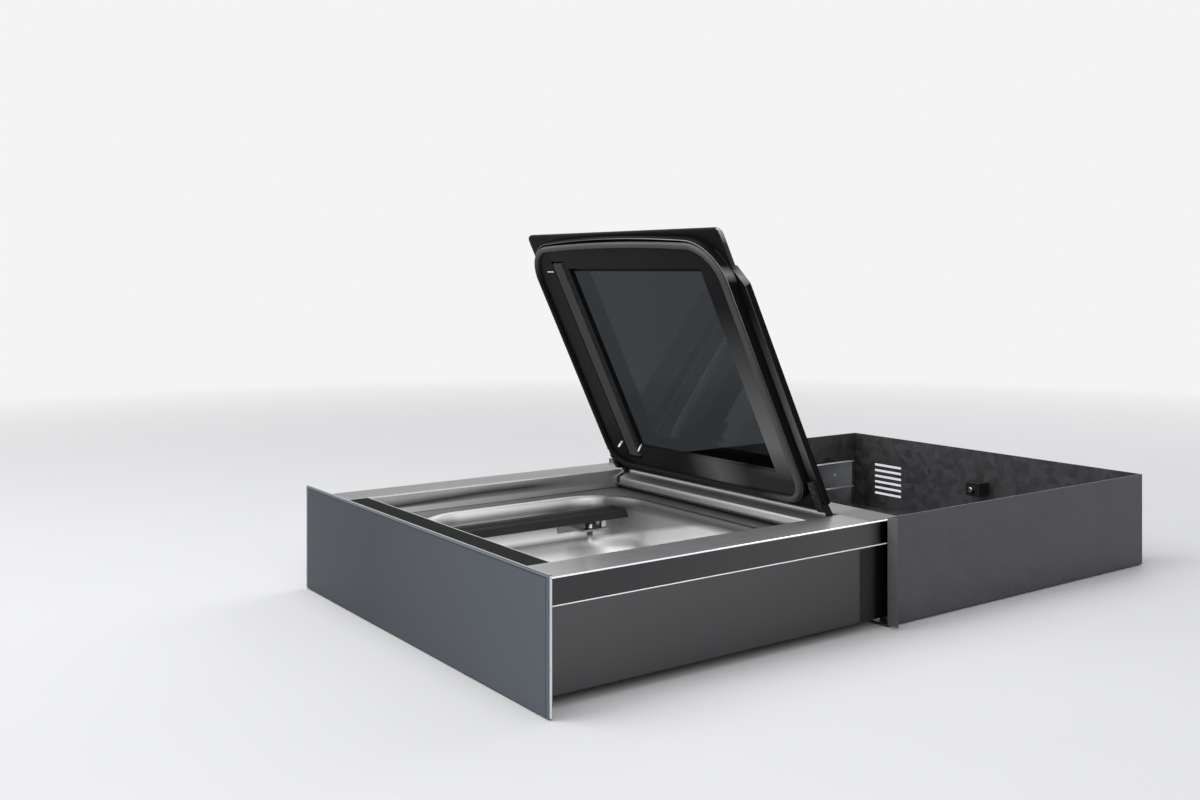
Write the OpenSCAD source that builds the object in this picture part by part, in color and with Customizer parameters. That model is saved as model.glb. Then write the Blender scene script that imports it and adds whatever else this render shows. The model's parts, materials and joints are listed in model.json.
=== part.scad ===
// Built-in vacuum sealing drawer, shown pulled out with its lid open.
// Origin: middle of the casing's underside, at the front plane of the cabinet.
// +X to the right, +Y into the cabinet, +Z up. Millimetres.
// Drawer pieces are placed by their distance behind the front face of the glass.

/* [Niche and casing] */
// Width of the cabinet niche
niche_w = 560; // [556:1:564]
// Gap between niche wall and casing, each side
niche_gap = 2; // [1:0.5:3]
// Height of the casing's side walls
casing_h = 130; // [127:1:134]
// Sheet thickness of the casing
casing_t = 1.5; // [1.2:0.1:2]
// Width of the front flange that is screwed to the cabinet
flange_w = 14; // [12:1:17]
// Radius of the cabinet screw holes
screw_hole_r = 2.25; // [2:0.05:2.75]
// Height of the lower cabinet screws
screw_low_z = 30; // [20:1:40]
// Height between the cabinet screws
screw_pitch_z = 70; // [60:1:80]
// Distance from the cabinet's front plane to the closed front face
front_stand = 20; // [18:1:24]
// Room for the push latch behind the closed drawer
latch_room = 33; // [28:1:44]
// Width and height of the cable window in the rear wall
cable_window_w = 100; // [80:2:110]
cable_window_h = 34; // [28:1:44]
// Length and width of the stiffening slots in the base
base_slot_l = 360; // [320:10:400]
base_slot_w = 8; // [6:1:10]

/* [Drawer] */
// How far the drawn drawer stays in the casing
drawer_stays = 29; // [24:1:60]
// Width of the front glass
panel_w = 597; // [590:1:600]
// Height of the front glass
panel_h = 136.6; // [134:0.1:138]
// Thickness of the front glass
glass_t = 4; // [3:0.5:5]
// Thickness of the steel plate behind the glass
carrier_t = 3; // [2:0.5:4]
// Gap between casing and drawer body, each side
body_gap = 5.5; // [4.5:0.5:7]
// Height of the drawer's top face
body_top = 126.5; // [125:0.5:127]
// Height of the drawer's underside
body_bottom = 10.5; // [9:0.5:12]
// Depth of the drawer body behind the steel plate
body_d = 520; // [510:1:530]
// Sheet thickness of the drawer body
sheet_t = 1.2; // [1:0.1:1.5]
// Height of the upper frame above the chamber flange
band_h = 27.5; // [27:0.5:28.5]
// How far the chamber flange stands proud of the sides
flange_proud = 1; // [0.5:0.1:1.5]
// Width of the folds along the side panels
fold_w = 12; // [10:1:14]

/* [Recess and control strip] */
// Width of the side rims
rim_w = 53.5; // [52:0.5:55]
// Depth of the front bar with the control strip
front_bar_d = 47; // [45:1:49]
// Depth of the rear deck
deck_d = 51; // [49:1:53]
// Thickness of the control glass
strip_t = 3; // [2:0.5:4]
// Width of the ledge that carries the control glass
strip_ledge = 7; // [5:1:9]

/* [Chamber] */
// Width of the flange beside the chamber
flange_side = 32; // [30:1:36]
// Depth of the flange in front of the chamber
flange_front = 42; // [40:1:46]
// Depth of the flange behind the chamber
flange_rear = 52; // [50:1:56]
// Depth of the chamber below its flange
pocket_depth = 86; // [80:1:86]
// Corner radius of the chamber in plan
corner_r = 75; // [60:1:78]
// Radius between floor and walls
floor_r = 30; // [20:1:34]
// Radius between walls and flange
rim_r = 8; // [6:0.5:9]
// Place of the suction port across the drawer
port_x = 95; // [80:1:105]
// Height of the suction port
port_z = 70; // [60:1:74]
// Bore radius of the suction port
port_r = 5; // [4:0.5:6]

/* [Seal bar] */
// Distance from the chamber's left wall to the bar's middle
bar_inset = 49; // [46:1:52]
// Width of the seal bar
bar_w = 32; // [28:1:34]
// Height of the seal bar's body
bar_h = 13; // [11:0.5:15]
// Depth of the seal bar's top face below the flange
bar_below_flange = 10.5; // [10:0.5:14]
// Distance from the chamber's front wall to the bar
bar_front_gap = 16; // [15:1:24]
// Distance from the bar's top face to the chamber's rear wall
bar_rear_gap = 21; // [20:1:28]
// Distance from each end of the bar to the lifting pins
pin_front_inset = 34; // [30:1:44]
pin_rear_inset = 51; // [44:1:60]
// Length of the lifting pins below the bar
pin_len = 30; // [26:1:36]
// Radius of the lifting pins
pin_r = 4; // [3:0.5:5]
// Sliding clearance of the lifting pins
pin_clear = 0.05; // [0.03:0.01:0.1]
// Length of the brackets along the bar
bracket_l = 44; // [36:1:46]

/* [Lid] */
// Opening angle of the lid
lid_angle = 64; // [60:1:66]
// Distance from the rear deck to the hinge axis
hinge_inset = 10.25; // [10:0.25:10.75]
// Depth of the hinge axis below the drawer's top face
hinge_drop = 12.5; // [12:0.25:13]
// Gap between recess and cover, each side
cover_gap = 3.5; // [3:0.5:5]
// Height of the lid's top face below the drawer's top face
lid_inset = 2.2; // [2:0.1:2.6]
// Thickness of the cover
cover_t = 9; // [8.6:0.2:9.4]
// Finger gap in front of the lid's lip
finger_gap = 11.75; // [10:0.25:16]
// How far the lip stands in front of the cover
lip_reach = 51.5; // [48:0.5:54]
// Gap between recess and lip, each side
lip_gap = 12; // [11:0.5:16]
// Thickness of the finger lip
lip_t = 5.5; // [4.5:0.5:6]
// Gap between recess and raised underside, each side
plateau_gap = 15.5; // [15:0.5:17]
// Distance from the lip's front edge to the raised underside
plateau_inset = 9; // [8:0.5:12]
// Distance from the raised underside to the hinge axis
plateau_back = 29; // [28:0.5:31]
// Height of the lid's underside above the chamber flange
underside_gap = 4.8; // [4.4:0.2:5.4]
// Corner radius of the raised underside
plateau_r = 53; // [45:1:60]
// Thickness of the lid glass
lid_glass_t = 5; // [4:0.5:5.5]
// Rim of the cover round the lid glass
glass_rim = 5; // [4:0.5:6]
// Clearance round the lid glass
glass_clear = 0.2; // [0.1:0.05:0.3]
// Distance from the seal bar's middle to the window
window_left_gap = 21; // [20:1:26]
// Distance from the window to the raised underside's right edge
window_right_gap = 42.5; // [38:0.5:50]
// Distance from the hinge axis to the window
window_back = 73; // [68:1:80]
// Distance from the raised underside's front edge to the window
window_front_gap = 40; // [36:1:48]
// Width of the gasket bead
gasket_w = 7; // [5:0.5:8]
// Distance from the raised underside's edge to the gasket
gasket_inset = 3.5; // [3:0.5:5]
// Depth of the gasket's groove
gasket_seat = 2.5; // [2:0.25:3]
// Gap between gasket and chamber flange with the lid closed
gasket_gap = 0.3; // [0.3:0.05:0.5]
// Width of the counter-pressure bar
counter_w = 26; // [22:1:28]
// How far the counter bar stands out of the lid's underside
counter_proud = 2.5; // [2:0.1:2.5]
// Thickness of the lid's hinge arms
arm_t = 8; // [7:0.5:8.5]
// Distance from the cover's edge to the middle of each arm
arm_inset = 6.5; // [6:0.25:7]
// Radius of the hinge pins
hinge_pin_r = 3; // [2.5:0.25:3.25]
// Running clearance of the hinge pins
hinge_clear = 0.05; // [0.03:0.01:0.1]

/* [Runners] */
// Width of the space between chassis wall and side face
runner_bay = 35.3; // [34:0.1:37]
// Distance from the cabinet's front plane to the runners
runner_start = 10; // [8:1:14]
// How far the closed drawer's rear stands behind the runners
runner_end_gap = 2; // [1:0.5:6]
// Height of the outer runner member
runner_h = 46; // [42:1:50]
// Height of the runners' lower edge
runner_z = 40; // [34:1:44]
// Thickness of the runner's sheet
runner_t = 1.8; // [1.5:0.1:2]
// Gap between runner members
runner_gap = 0.3; // [0.25:0.05:0.4]
// Width of the whole runner
runner_w = 17; // [16:0.5:18]
// Overlap of the runner members' flanges
member_lap = 6; // [5:0.5:7]
// Thickness of the runner brackets
bracket_t = 2; // [1.5:0.1:2.5]

/* [Works] */
// Radius of the pump motor
motor_r = 33; // [30:1:35]
// Length of the pump motor
motor_len = 140; // [120:1:150]
// Width, depth and height of the pump body
pump_w = 82; // [76:1:84]
pump_d = 66; // [60:1:68]
pump_h = 70; // [64:1:72]
// Distance from the chassis wall to the pump
pump_side = 77.2; // [74:0.1:84]
// Height of the rubber feet under pump and motor
foot_h = 6; // [5:0.5:8]
// Outer radius of the suction hose
hose_r = 6; // [5:0.5:7]
// Wall thickness of the suction hose
hose_wall = 2; // [1.5:0.1:2.5]
// Bend radius of the suction hose
hose_bend = 12; // [11:0.5:14]
// Height of the suction hose above the pan
hose_rise = 24; // [22:1:28]
// Width, depth and height of the valve block
valve_w = 50; // [44:1:56]
valve_d = 40; // [36:1:44]
valve_h = 36; // [34:1:42]
// Width of the square cooling fan
fan_w = 60; // [56:1:62]
// Depth of the cooling fan
fan_d = 15; // [13:1:18]
// Distance from the chassis wall to the fan's middle
fan_side = 37.2; // [34:0.1:40]
// Number of fan blades
fan_blades = 7; // [5:1:9]
// Radius of the fan's shaft
fan_shaft_r = 1.5; // [1.25:0.05:2]
// Running clearance of the fan's rotor
fan_clear = 0.05; // [0.03:0.01:0.1]
// Travel of the push latch
latch_travel = 4; // [3:0.5:5]
// Radius of the push latch's plunger
latch_r = 4; // [3:0.5:5]
// Sliding clearance of the plunger
latch_clear = 0.05; // [0.03:0.01:0.1]
// Height of the push latch
latch_z = 70; // [60:1:80]
// Length, width and height of the transformer's core
core_l = 60; // [54:1:66]
core_w = 38; // [34:1:42]
core_h = 50; // [46:1:56]
// Length and height of the power board
power_l = 190; // [180:1:200]
power_h = 64; // [60:1:70]
// Length of the control board
board_l = 360; // [340:2:380]

/* [Hidden] */
$fn = 48;

// Overlap of pieces in unions and cuts
eps = 0.5;
casing_w = niche_w - 2 * niche_gap;
casing_half = casing_w / 2;
flange_half = casing_half + flange_w;
screw_x = casing_half + flange_w / 2 - 1;
body_half = casing_half - body_gap;
body_w = 2 * body_half;
body_front = glass_t + carrier_t;
body_rear = body_front + body_d;
flange_z = body_top - band_h;
flange_under = flange_z - sheet_t;
chassis_half = body_half - runner_bay;
recess_half = body_half - rim_w;
recess_front = body_front + front_bar_d;
deck_front = body_rear - deck_d;
closed_rear = body_rear - front_stand;
travel = closed_rear - drawer_stays;
drawer_shift = -(front_stand + travel);
casing_d = closed_rear + latch_room;

pocket_half = recess_half - flange_side;
pocket_front = recess_front + flange_front;
pocket_rear = deck_front - flange_rear;
pocket_mid = (pocket_front + pocket_rear) / 2;
pocket_len_half = (pocket_rear - pocket_front) / 2;
floor_z = flange_z - pocket_depth;

bar_x = bar_inset - pocket_half;
bar_front = pocket_front + bar_front_gap;
bar_rear = pocket_rear - bar_rear_gap;
bar_top = flange_z - bar_below_flange;
bar_under = bar_top - bar_h;
pins_y = [bar_front + pin_front_inset, bar_rear - pin_rear_inset];

hinge_y = deck_front - hinge_inset;
hinge_z = body_top - hinge_drop;
cover_half = recess_half - cover_gap;
lip_half = recess_half - lip_gap;
plateau_half = recess_half - plateau_gap;
lid_top = body_top - lid_inset;
cover_under = lid_top - cover_t;
lid_under = flange_z + underside_gap;
lip_under = cover_under - 1;
lip_front = recess_front + finger_gap;
cover_front = lip_front + lip_reach;
plateau_front = lip_front + plateau_inset;
plateau_rear = hinge_y - plateau_back;
plateau_mid = (plateau_front + plateau_rear) / 2;
plateau_len_half = (plateau_rear - plateau_front) / 2;
window_left = bar_x + window_left_gap;
window_right = plateau_half - window_right_gap;
window_rear = hinge_y - window_back;
window_front = plateau_front + window_front_gap;
glass_rear = plateau_rear + 1;
counter_front = bar_front - 5;
counter_rear = bar_rear + 14;
arm_x = cover_half - arm_inset;

// Runner section, measured outwards from the chassis wall
runner_in = chassis_half;
runner_out = runner_in + runner_w;
runner_len = closed_rear - runner_start - runner_end_gap;
works_rear = body_rear - sheet_t;
pan_top = body_bottom + sheet_t;
pump_x = -chassis_half + pump_side + pump_w / 2;
motor_z = pan_top + foot_h + motor_r + 2;
motor_left = pump_x + pump_w / 2;
hose_y = works_rear - hose_r - 3;
hose_z = pan_top + hose_rise;
pump_rear = hose_y - hose_bend - 2.8;
pump_front = pump_rear - pump_d;
pump_mid_y = pump_rear - pump_d / 2;
pump_low = pan_top + foot_h;
valve_x = chassis_half - 92.2;
valve_rear = hose_y - hose_bend - 24.8;
fan_x = -chassis_half + fan_side;
fan_z = pan_top + fan_w / 2 + 12.3;
inlet_x = chassis_half - 57.2;
inlet_z = 63;

steel = [0.62, 0.62, 0.62];
bright_steel = [0.8, 0.8, 0.8];
dark_steel = [0.3, 0.3, 0.31];
black = [0.09, 0.09, 0.1];

module block(x0, x1, y0, y1, z0, z1) {
    translate([x0, y0, z0]) cube([x1 - x0, y1 - y0, z1 - z0]);
}

module both_sides() {
    children();
    mirror([1, 0, 0]) children();
}

module on_drawer() {
    translate([0, drawer_shift, 0]) children();
}

module on_lid() {
    on_drawer() translate([0, hinge_y, hinge_z]) rotate([-lid_angle, 0, 0])
        translate([0, -hinge_y, -hinge_z]) children();
}

// Flat outline with round corners, centred on x
module round_outline(half_x, y0, y1, r) {
    translate([-half_x + r, y0]) square([2 * (half_x - r), y1 - y0]);
    translate([-half_x, y0 + r]) square([2 * half_x, y1 - y0 - 2 * r]);
    for (x = [-half_x + r, half_x - r])
        for (y = [y0 + r, y1 - r])
            translate([x, y]) circle(r);
}

module round_plate(half_x, y0, y1, r, z0, z1) {
    translate([0, 0, z0]) linear_extrude(z1 - z0) round_outline(half_x, y0, y1, r);
}

// A profile carried round a rectangle with round corners.
// The profile's x starts at the corner's own axis.
module swept_ring(half_x, half_y, r) {
    for (i = [0:3]) {
        a = (i % 2 == 0 ? half_x : half_y) - r;
        b = (i % 2 == 0 ? half_y : half_x) - r;
        rotate([0, 0, 90 * i]) {
            translate([a, b, 0]) rotate_extrude(angle = 90, $fn = 96) children();
            translate([a, b, 0]) rotate([90, 0, 0]) linear_extrude(2 * b) children();
        }
    }
}

// A quarter of a ring, between two radii, in the quadrant of signs sx, sy
module quarter_ring(r_in, r_out, sx, sy) {
    intersection() {
        difference() {
            circle(r_out);
            circle(r_in);
        }
        translate([sx > 0 ? 0 : -r_out - 1, sy > 0 ? 0 : -r_out - 1])
            square([r_out + 1, r_out + 1]);
    }
}

// Casing

module casing_base() color(dark_steel) difference() {
    block(-casing_half, casing_half, -casing_t, casing_d, 0, casing_t);
    for (i = [0:4])
        block(-base_slot_l / 2, base_slot_l / 2, casing_d * (i + 0.6) / 5, casing_d * (i + 0.6) / 5 + base_slot_w,
            -eps, casing_t + eps);
    for (x = [28 - casing_half, casing_half - 28])
        for (i = [0:2])
            block(x - 14, x + 14, casing_d - 24 + i * 7, casing_d - 21.5 + i * 7, -eps, casing_t + eps);
}

module casing_wall() {
    block(casing_half - casing_t, casing_half, 0, casing_d, casing_t, casing_h);
    difference() {
        block(casing_half - casing_t, flange_half, -casing_t, 0, casing_t, casing_h);
        for (z = [screw_low_z, screw_low_z + screw_pitch_z])
            translate([screw_x, eps, z]) rotate([90, 0, 0]) cylinder(h = casing_t + 2 * eps, r = screw_hole_r);
    }
}

module casing_wall_right() color(dark_steel) casing_wall();

module casing_wall_left() color(dark_steel) mirror([1, 0, 0]) casing_wall();

module casing_rear_wall() color(dark_steel) difference() {
    block(-casing_half + casing_t, casing_half - casing_t, casing_d - casing_t, casing_d, casing_t, casing_h);
    block(inlet_x - cable_window_w / 2, inlet_x + cable_window_w / 2, casing_d - casing_t - eps, casing_d + eps,
        inlet_z - cable_window_h / 2, inlet_z + cable_window_h / 2);
    for (z = [fan_z - 27:10:fan_z + 27])
        block(fan_x - fan_w / 2, fan_x + fan_w / 2, casing_d - casing_t - eps, casing_d + eps, z, z + 4);
}

// Runners: outer member on the casing, middle member, inner member on the drawer

runner_low = runner_z;
runner_high = runner_z + runner_h;
middle_low = runner_low + runner_t + runner_gap;
middle_high = runner_high - runner_t - runner_gap;
inner_low = middle_low + runner_t + 1 + runner_t + runner_gap;
inner_high = middle_high - runner_t - 1 - runner_t - runner_gap;
outer_web = runner_out - runner_t;
middle_web = outer_web - member_lap;
bracket_foot = 13;

module runner_bracket() {
    block(runner_out, runner_out + bracket_t, runner_start, runner_start + runner_len, casing_t, runner_high);
    difference() {
        block(runner_out, runner_out + bracket_foot, runner_start, runner_start + runner_len,
            casing_t, casing_t + bracket_t);
        for (y = [runner_start + 30, runner_start + runner_len - 30])
            translate([runner_out + 8, y, casing_t - eps]) cylinder(h = bracket_t + 2 * eps, r = 2.1);
    }
}

module runner_bracket_right() color(steel) runner_bracket();

module runner_bracket_left() color(steel) mirror([1, 0, 0]) runner_bracket();

module runner_outer() translate([0, runner_start, 0]) {
    block(outer_web, runner_out, 0, runner_len, runner_low, runner_high);
    for (z = [runner_low, runner_high - runner_t])
        block(outer_web - member_lap + 1, outer_web, 0, runner_len, z, z + runner_t);
}

module runner_outer_right() color(bright_steel) runner_outer();

module runner_outer_left() color(bright_steel) mirror([1, 0, 0]) runner_outer();

module runner_middle() translate([0, runner_start - travel / 2, 0]) {
    block(middle_web, middle_web + runner_t, 0, runner_len, middle_low, middle_high);
    for (z = [middle_low, middle_high - runner_t])
        block(middle_web, outer_web - runner_gap, 0, runner_len, z, z + runner_t);
    for (z = [middle_low + runner_t + 1, middle_high - 2 * runner_t - 1])
        block(runner_in + runner_t + 1, middle_web, 0, runner_len, z, z + runner_t);
}

module runner_middle_right() color(bright_steel) runner_middle();

module runner_middle_left() color(bright_steel) mirror([1, 0, 0]) runner_middle();

module runner_inner() translate([0, runner_start - travel, 0]) {
    block(runner_in, runner_in + runner_t, 0, runner_len, inner_low, inner_high);
    for (z = [inner_low, inner_high - runner_t])
        block(runner_in, middle_web - runner_gap, 0, runner_len, z, z + runner_t);
}

module runner_inner_right() color(bright_steel) runner_inner();

module runner_inner_left() color(bright_steel) mirror([1, 0, 0]) runner_inner();

// Push latch between casing and drawer

latch_tip = closed_rear + 0.3;
latch_front = latch_tip + latch_travel + 2;
latch_back = casing_d - casing_t;

module latch_housing() color(black) difference() {
    block(-13, 13, latch_front, latch_back, latch_z - 11, latch_z + 11);
    translate([0, latch_back - 3, latch_z]) rotate([90, 0, 0]) cylinder(h = latch_back - latch_front, r = latch_r + latch_clear);
}

module latch_plunger() color(steel) translate([0, 0, latch_z]) rotate([-90, 0, 0]) {
    translate([0, 0, latch_tip]) cylinder(h = latch_back - 3.3 - latch_travel - latch_tip, r = latch_r);
}

// Front

module front_glass() color([0.35, 0.37, 0.41]) on_drawer()
    block(-panel_w / 2, panel_w / 2, 0, glass_t, 0, panel_h);

module front_carrier() color(steel) on_drawer() difference() {
    block(-body_half, body_half, glass_t, body_front, body_bottom, body_top);
    for (x = [72 - body_half, 0, body_half - 72])
        for (z = [body_bottom + 20, body_bottom + 70])
            translate([x, body_front + eps, z]) rotate([90, 0, 0]) cylinder(h = carrier_t + 2 * eps, r = 3);
}

// Lower body

module chassis_pan() color(steel) on_drawer() difference() {
    union() {
        block(-chassis_half, chassis_half, body_front, body_rear, body_bottom, pan_top);
        block(-chassis_half, chassis_half, body_front, body_front + sheet_t, body_bottom, flange_under);
    }
    for (i = [0:5])
        block(fan_x - 25, fan_x + 25, body_rear - 87 + i * 9, body_rear - 84 + i * 9, body_bottom - eps, pan_top + eps);
}

module chassis_wall() block(chassis_half - sheet_t, chassis_half, body_front + sheet_t, body_rear, pan_top, flange_under);

module chassis_wall_right() color(steel) on_drawer() chassis_wall();

module chassis_wall_left() color(steel) on_drawer() mirror([1, 0, 0]) chassis_wall();

module side_panel() {
    block(body_half - sheet_t, body_half, body_front, body_rear, body_bottom, flange_under);
    block(body_half - fold_w / 2, body_half, body_front, body_rear, body_bottom, pan_top);
    block(body_half - fold_w, body_half, body_front, body_rear, flange_under - sheet_t, flange_under);
}

module side_panel_right() color(dark_steel) on_drawer() side_panel();

module side_panel_left() color(dark_steel) on_drawer() mirror([1, 0, 0]) side_panel();

module rear_panel() color(steel) on_drawer() difference() {
    block(-chassis_half + sheet_t, chassis_half - sheet_t, works_rear, body_rear, pan_top, flange_under);
    translate([fan_x, body_rear + eps, fan_z]) rotate([90, 0, 0]) cylinder(h = sheet_t + 2 * eps, r = fan_w / 2 - 4);
    block(inlet_x - 14, inlet_x + 14, works_rear - eps, body_rear + eps, inlet_z - 11, inlet_z + 11);
}

// Chamber: one drawn sheet with its flange

module tub_profile() {
    translate([0, floor_z - sheet_t]) square([corner_r - floor_r, sheet_t]);
    translate([corner_r - floor_r, floor_z + floor_r]) quarter_ring(floor_r, floor_r + sheet_t, 1, -1);
    translate([corner_r, floor_z + floor_r]) square([sheet_t, pocket_depth - floor_r - rim_r]);
    translate([corner_r + rim_r, flange_z - rim_r]) quarter_ring(rim_r - sheet_t, rim_r, -1, 1);
    translate([corner_r + rim_r, flange_under]) square([3, sheet_t]);
}

module chamber_tub() color(bright_steel) on_drawer() difference() {
    union() {
        translate([0, pocket_mid, 0]) {
            swept_ring(pocket_half, pocket_len_half, corner_r) tub_profile();
            block(-pocket_half + corner_r, pocket_half - corner_r, -pocket_len_half + corner_r,
                pocket_len_half - corner_r, floor_z - sheet_t, floor_z);
        }
        translate([0, 0, flange_under]) linear_extrude(sheet_t) difference() {
            translate([-body_half - flange_proud, body_front])
                square([body_w + 2 * flange_proud, body_d]);
            round_outline(pocket_half + rim_r + 1, pocket_front - rim_r - 1,
                pocket_rear + rim_r + 1, corner_r + rim_r + 1);
        }
    }
    translate([port_x, pocket_rear + sheet_t + eps, port_z]) rotate([90, 0, 0])
        cylinder(h = sheet_t + 2 * eps, r = port_r);
}

// Upper frame with its rims, the front bar and the rear deck

module top_frame() color([0.55, 0.55, 0.56]) on_drawer() difference() {
    block(-body_half, body_half, body_front, body_rear, flange_z, body_top);
    block(-recess_half, recess_half, recess_front, deck_front, flange_z - eps, body_top + eps);
    both_sides() block(recess_half + sheet_t, body_half - sheet_t, body_front + sheet_t,
        body_rear - sheet_t, flange_z - eps, body_top - sheet_t);
    block(-recess_half - sheet_t - eps, recess_half + sheet_t + eps, body_front + sheet_t,
        recess_front - sheet_t, flange_z - eps, body_top - strip_t - sheet_t);
    block(-recess_half - sheet_t - eps, recess_half + sheet_t + eps, deck_front + sheet_t,
        body_rear - sheet_t, flange_z - eps, body_top - sheet_t);
    block(-recess_half, recess_half, body_front + sheet_t, recess_front - sheet_t,
        body_top - strip_t, body_top + eps);
    block(-recess_half + 12, recess_half - 12, body_front + sheet_t + strip_ledge,
        recess_front - sheet_t - strip_ledge, flange_z - eps, body_top + eps);
    block(-recess_half + 12, recess_half - 12, deck_front - eps, deck_front + sheet_t + eps,
        flange_z - eps, body_top - 9);
}

module control_glass() color(black) on_drawer()
    block(-recess_half, recess_half, body_front + sheet_t, recess_front - sheet_t,
        body_top - strip_t, body_top);

module control_board() color([0.1, 0.35, 0.2]) on_drawer() {
    board_top = body_top - strip_t - sheet_t - 3;
    y0 = body_front + sheet_t + 3;
    y1 = recess_front - sheet_t - 3;
    block(-board_l / 2, board_l / 2, y0, y1, board_top - 1.6, board_top);
    for (x = [10 - board_l / 2, -60, 60, board_l / 2 - 10])
        for (y = [y0 + 2, y1 - 2])
            translate([x, y, board_top]) cylinder(h = 3, r = 2);
    for (i = [0:6])
        block(-150 + i * 50, -138 + i * 50, y0 + 12, y0 + 22, board_top - 4, board_top - 1.6);
}

// Rear ledge: front edge rolled round the hinge, then a slope up to the deck

roll_r = 12.5;
roll_y = hinge_y - 0.55;
roll_z = flange_z + roll_r + 0.1;
crest_z = flange_z + 17.5;
crest_y = roll_y - sqrt(pow(roll_r, 2) - pow(crest_z - roll_z, 2));
ledge_foot = 3.4;
ledge_foot_z = roll_z - sqrt(pow(roll_r, 2) - pow(ledge_foot, 2));

module rear_ledge() color(bright_steel) on_drawer() difference() {
    translate([-recess_half, 0, 0]) rotate([90, 0, 90]) {
        linear_extrude(2 * recess_half) intersection() {
            difference() {
                translate([roll_y, roll_z]) circle(roll_r);
                translate([roll_y, roll_z]) circle(roll_r - sheet_t);
            }
            translate([roll_y - roll_r - 1, roll_z - roll_r - 1])
                square([roll_r + 1 - ledge_foot, crest_z - roll_z + roll_r + 1]);
        }
        linear_extrude(2 * recess_half)
            polygon([[crest_y + 0.05, crest_z - 0.05], [deck_front, body_top - 0.8],
                [deck_front, body_top - 0.8 - sheet_t], [crest_y + 0.6, crest_z - sheet_t]]);
        linear_extrude(2 * recess_half)
            translate([roll_y - ledge_foot - 0.2, ledge_foot_z]) square([deck_front - 0.1 - roll_y + ledge_foot, sheet_t]);
    }
    both_sides() block(arm_x - arm_t / 2 - 0.6, arm_x + arm_t / 2 + 0.6, hinge_y - 10.4,
        deck_front + eps, roll_z - 4.6, body_top + eps);
}

// Hinge brackets with their ears and pins

ear_t = 3.6;
ear_gap = 0.5;
ear_r = 4.7;
ear_in = arm_x - arm_t / 2 - ear_gap - ear_t;
ear_out = arm_x + arm_t / 2 + ear_gap;

module hinge_ear(x) {
    difference() {
        union() {
            translate([x, hinge_y, hinge_z]) rotate([0, 90, 0]) cylinder(h = ear_t, r = ear_r);
            block(x, x + ear_t, hinge_y - ledge_foot, hinge_y + ear_r, ledge_foot_z + sheet_t, hinge_z);
        }
        translate([x - eps, hinge_y, hinge_z]) rotate([0, 90, 0]) cylinder(h = ear_t + 2 * eps, r = hinge_pin_r);
    }
}

module hinge_bracket() {
    hinge_ear(ear_in);
    hinge_ear(ear_out);
    block(ear_in, ear_out + ear_t, hinge_y - ledge_foot, hinge_y + ear_r,
        ledge_foot_z + sheet_t, ledge_foot_z + sheet_t + 1.5);
}

module hinge_bracket_right() color(steel) on_drawer() hinge_bracket();

module hinge_bracket_left() color(steel) on_drawer() mirror([1, 0, 0]) hinge_bracket();

module hinge_pins() color(bright_steel) on_drawer() both_sides()
    translate([ear_in - 0.5, hinge_y, hinge_z]) rotate([0, 90, 0])
        cylinder(h = ear_out + ear_t - ear_in + 0.5, r = hinge_pin_r);

// Seal bar supports on the chamber wall, and the bar's contacts

support_top = bar_under - 3;
support_wall = 2.5;

// Each bracket follows the chamber's wall, which is curved near the corners
module seal_bar_supports() color(bright_steel) on_drawer() for (y = pins_y) difference() {
    union() {
        intersection() {
            block(-pocket_half, bar_x + 14, y - bracket_l / 2, y + bracket_l / 2, support_top - 10, support_top - 7);
            pocket_core(0.2);
        }
        difference() {
            intersection() {
                block(-pocket_half, bar_x, y - bracket_l / 2, y + bracket_l / 2, support_top - 22, support_top - 10);
                pocket_core(0.2);
            }
            pocket_core(0.2 + support_wall);
        }
        translate([bar_x, y, support_top - 7]) cylinder(h = 7, r = pin_r + 5);
    }
    translate([bar_x, y, support_top - 12]) cylinder(h = 14, r = pin_r + pin_clear);
}

module pocket_core(inset) round_plate(pocket_half - inset, pocket_front + inset, pocket_rear - inset,
    corner_r - inset, support_top - 30, support_top);

module seal_contacts() color([0.75, 0.6, 0.3]) on_drawer() for (y = pins_y)
    for (s = [-1, 1])
        block(bar_x + s * 9 - 3, bar_x + s * 9 + 3, y + 12, y + 19, support_top - 7, support_top + 2.7);

module seal_bar() color(black) on_drawer() difference() {
    translate([bar_x - bar_w / 2, 0, 0]) rotate([90, 0, 90]) linear_extrude(bar_w)
        polygon([[bar_front, bar_under], [bar_rear + 5, bar_under], [bar_rear + 5, bar_under + 4],
            [bar_rear, bar_top], [bar_front, bar_top]]);
    block(bar_x - 5, bar_x + 5, bar_front - eps, bar_rear + eps, bar_top - 1.2, bar_top + eps);
}

module seal_wire() color([0.75, 0.68, 0.55]) on_drawer() {
    block(bar_x - 5, bar_x + 5, bar_front + 6, bar_rear - 10, bar_top - 1.2, bar_top - 0.2);
    for (s = [-1, 1])
        block(bar_x + s * 2 - 0.8, bar_x + s * 2 + 0.8, bar_front + 6, bar_rear - 10, bar_top - 0.2, bar_top);
}

module lift_pins() color(steel) on_drawer() for (y = pins_y)
    translate([bar_x, y, bar_under - pin_len]) cylinder(h = pin_len, r = pin_r);

// Suction port, hose, valve block

module suction_port() color(steel) on_drawer() translate([port_x, pocket_rear + sheet_t, port_z])
    rotate([-90, 0, 0]) difference() {
        union() {
            cylinder(h = 3, r = port_r + 8);
            cylinder(h = 10, r = hose_r);
        }
        translate([0, 0, -eps]) cylinder(h = 10 + 2 * eps, r = hose_r - 2 * hose_wall / 1.6);
    }

// A bend of the hose in the plane of x and y, from +X side round to +Y side
module hose_bend_flat(turn) rotate([0, 0, turn]) rotate_extrude(angle = 90)
    translate([hose_bend, 0]) hose_section();

module hose_section() difference() {
    circle(hose_r);
    circle(hose_r - hose_wall);
}

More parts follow.
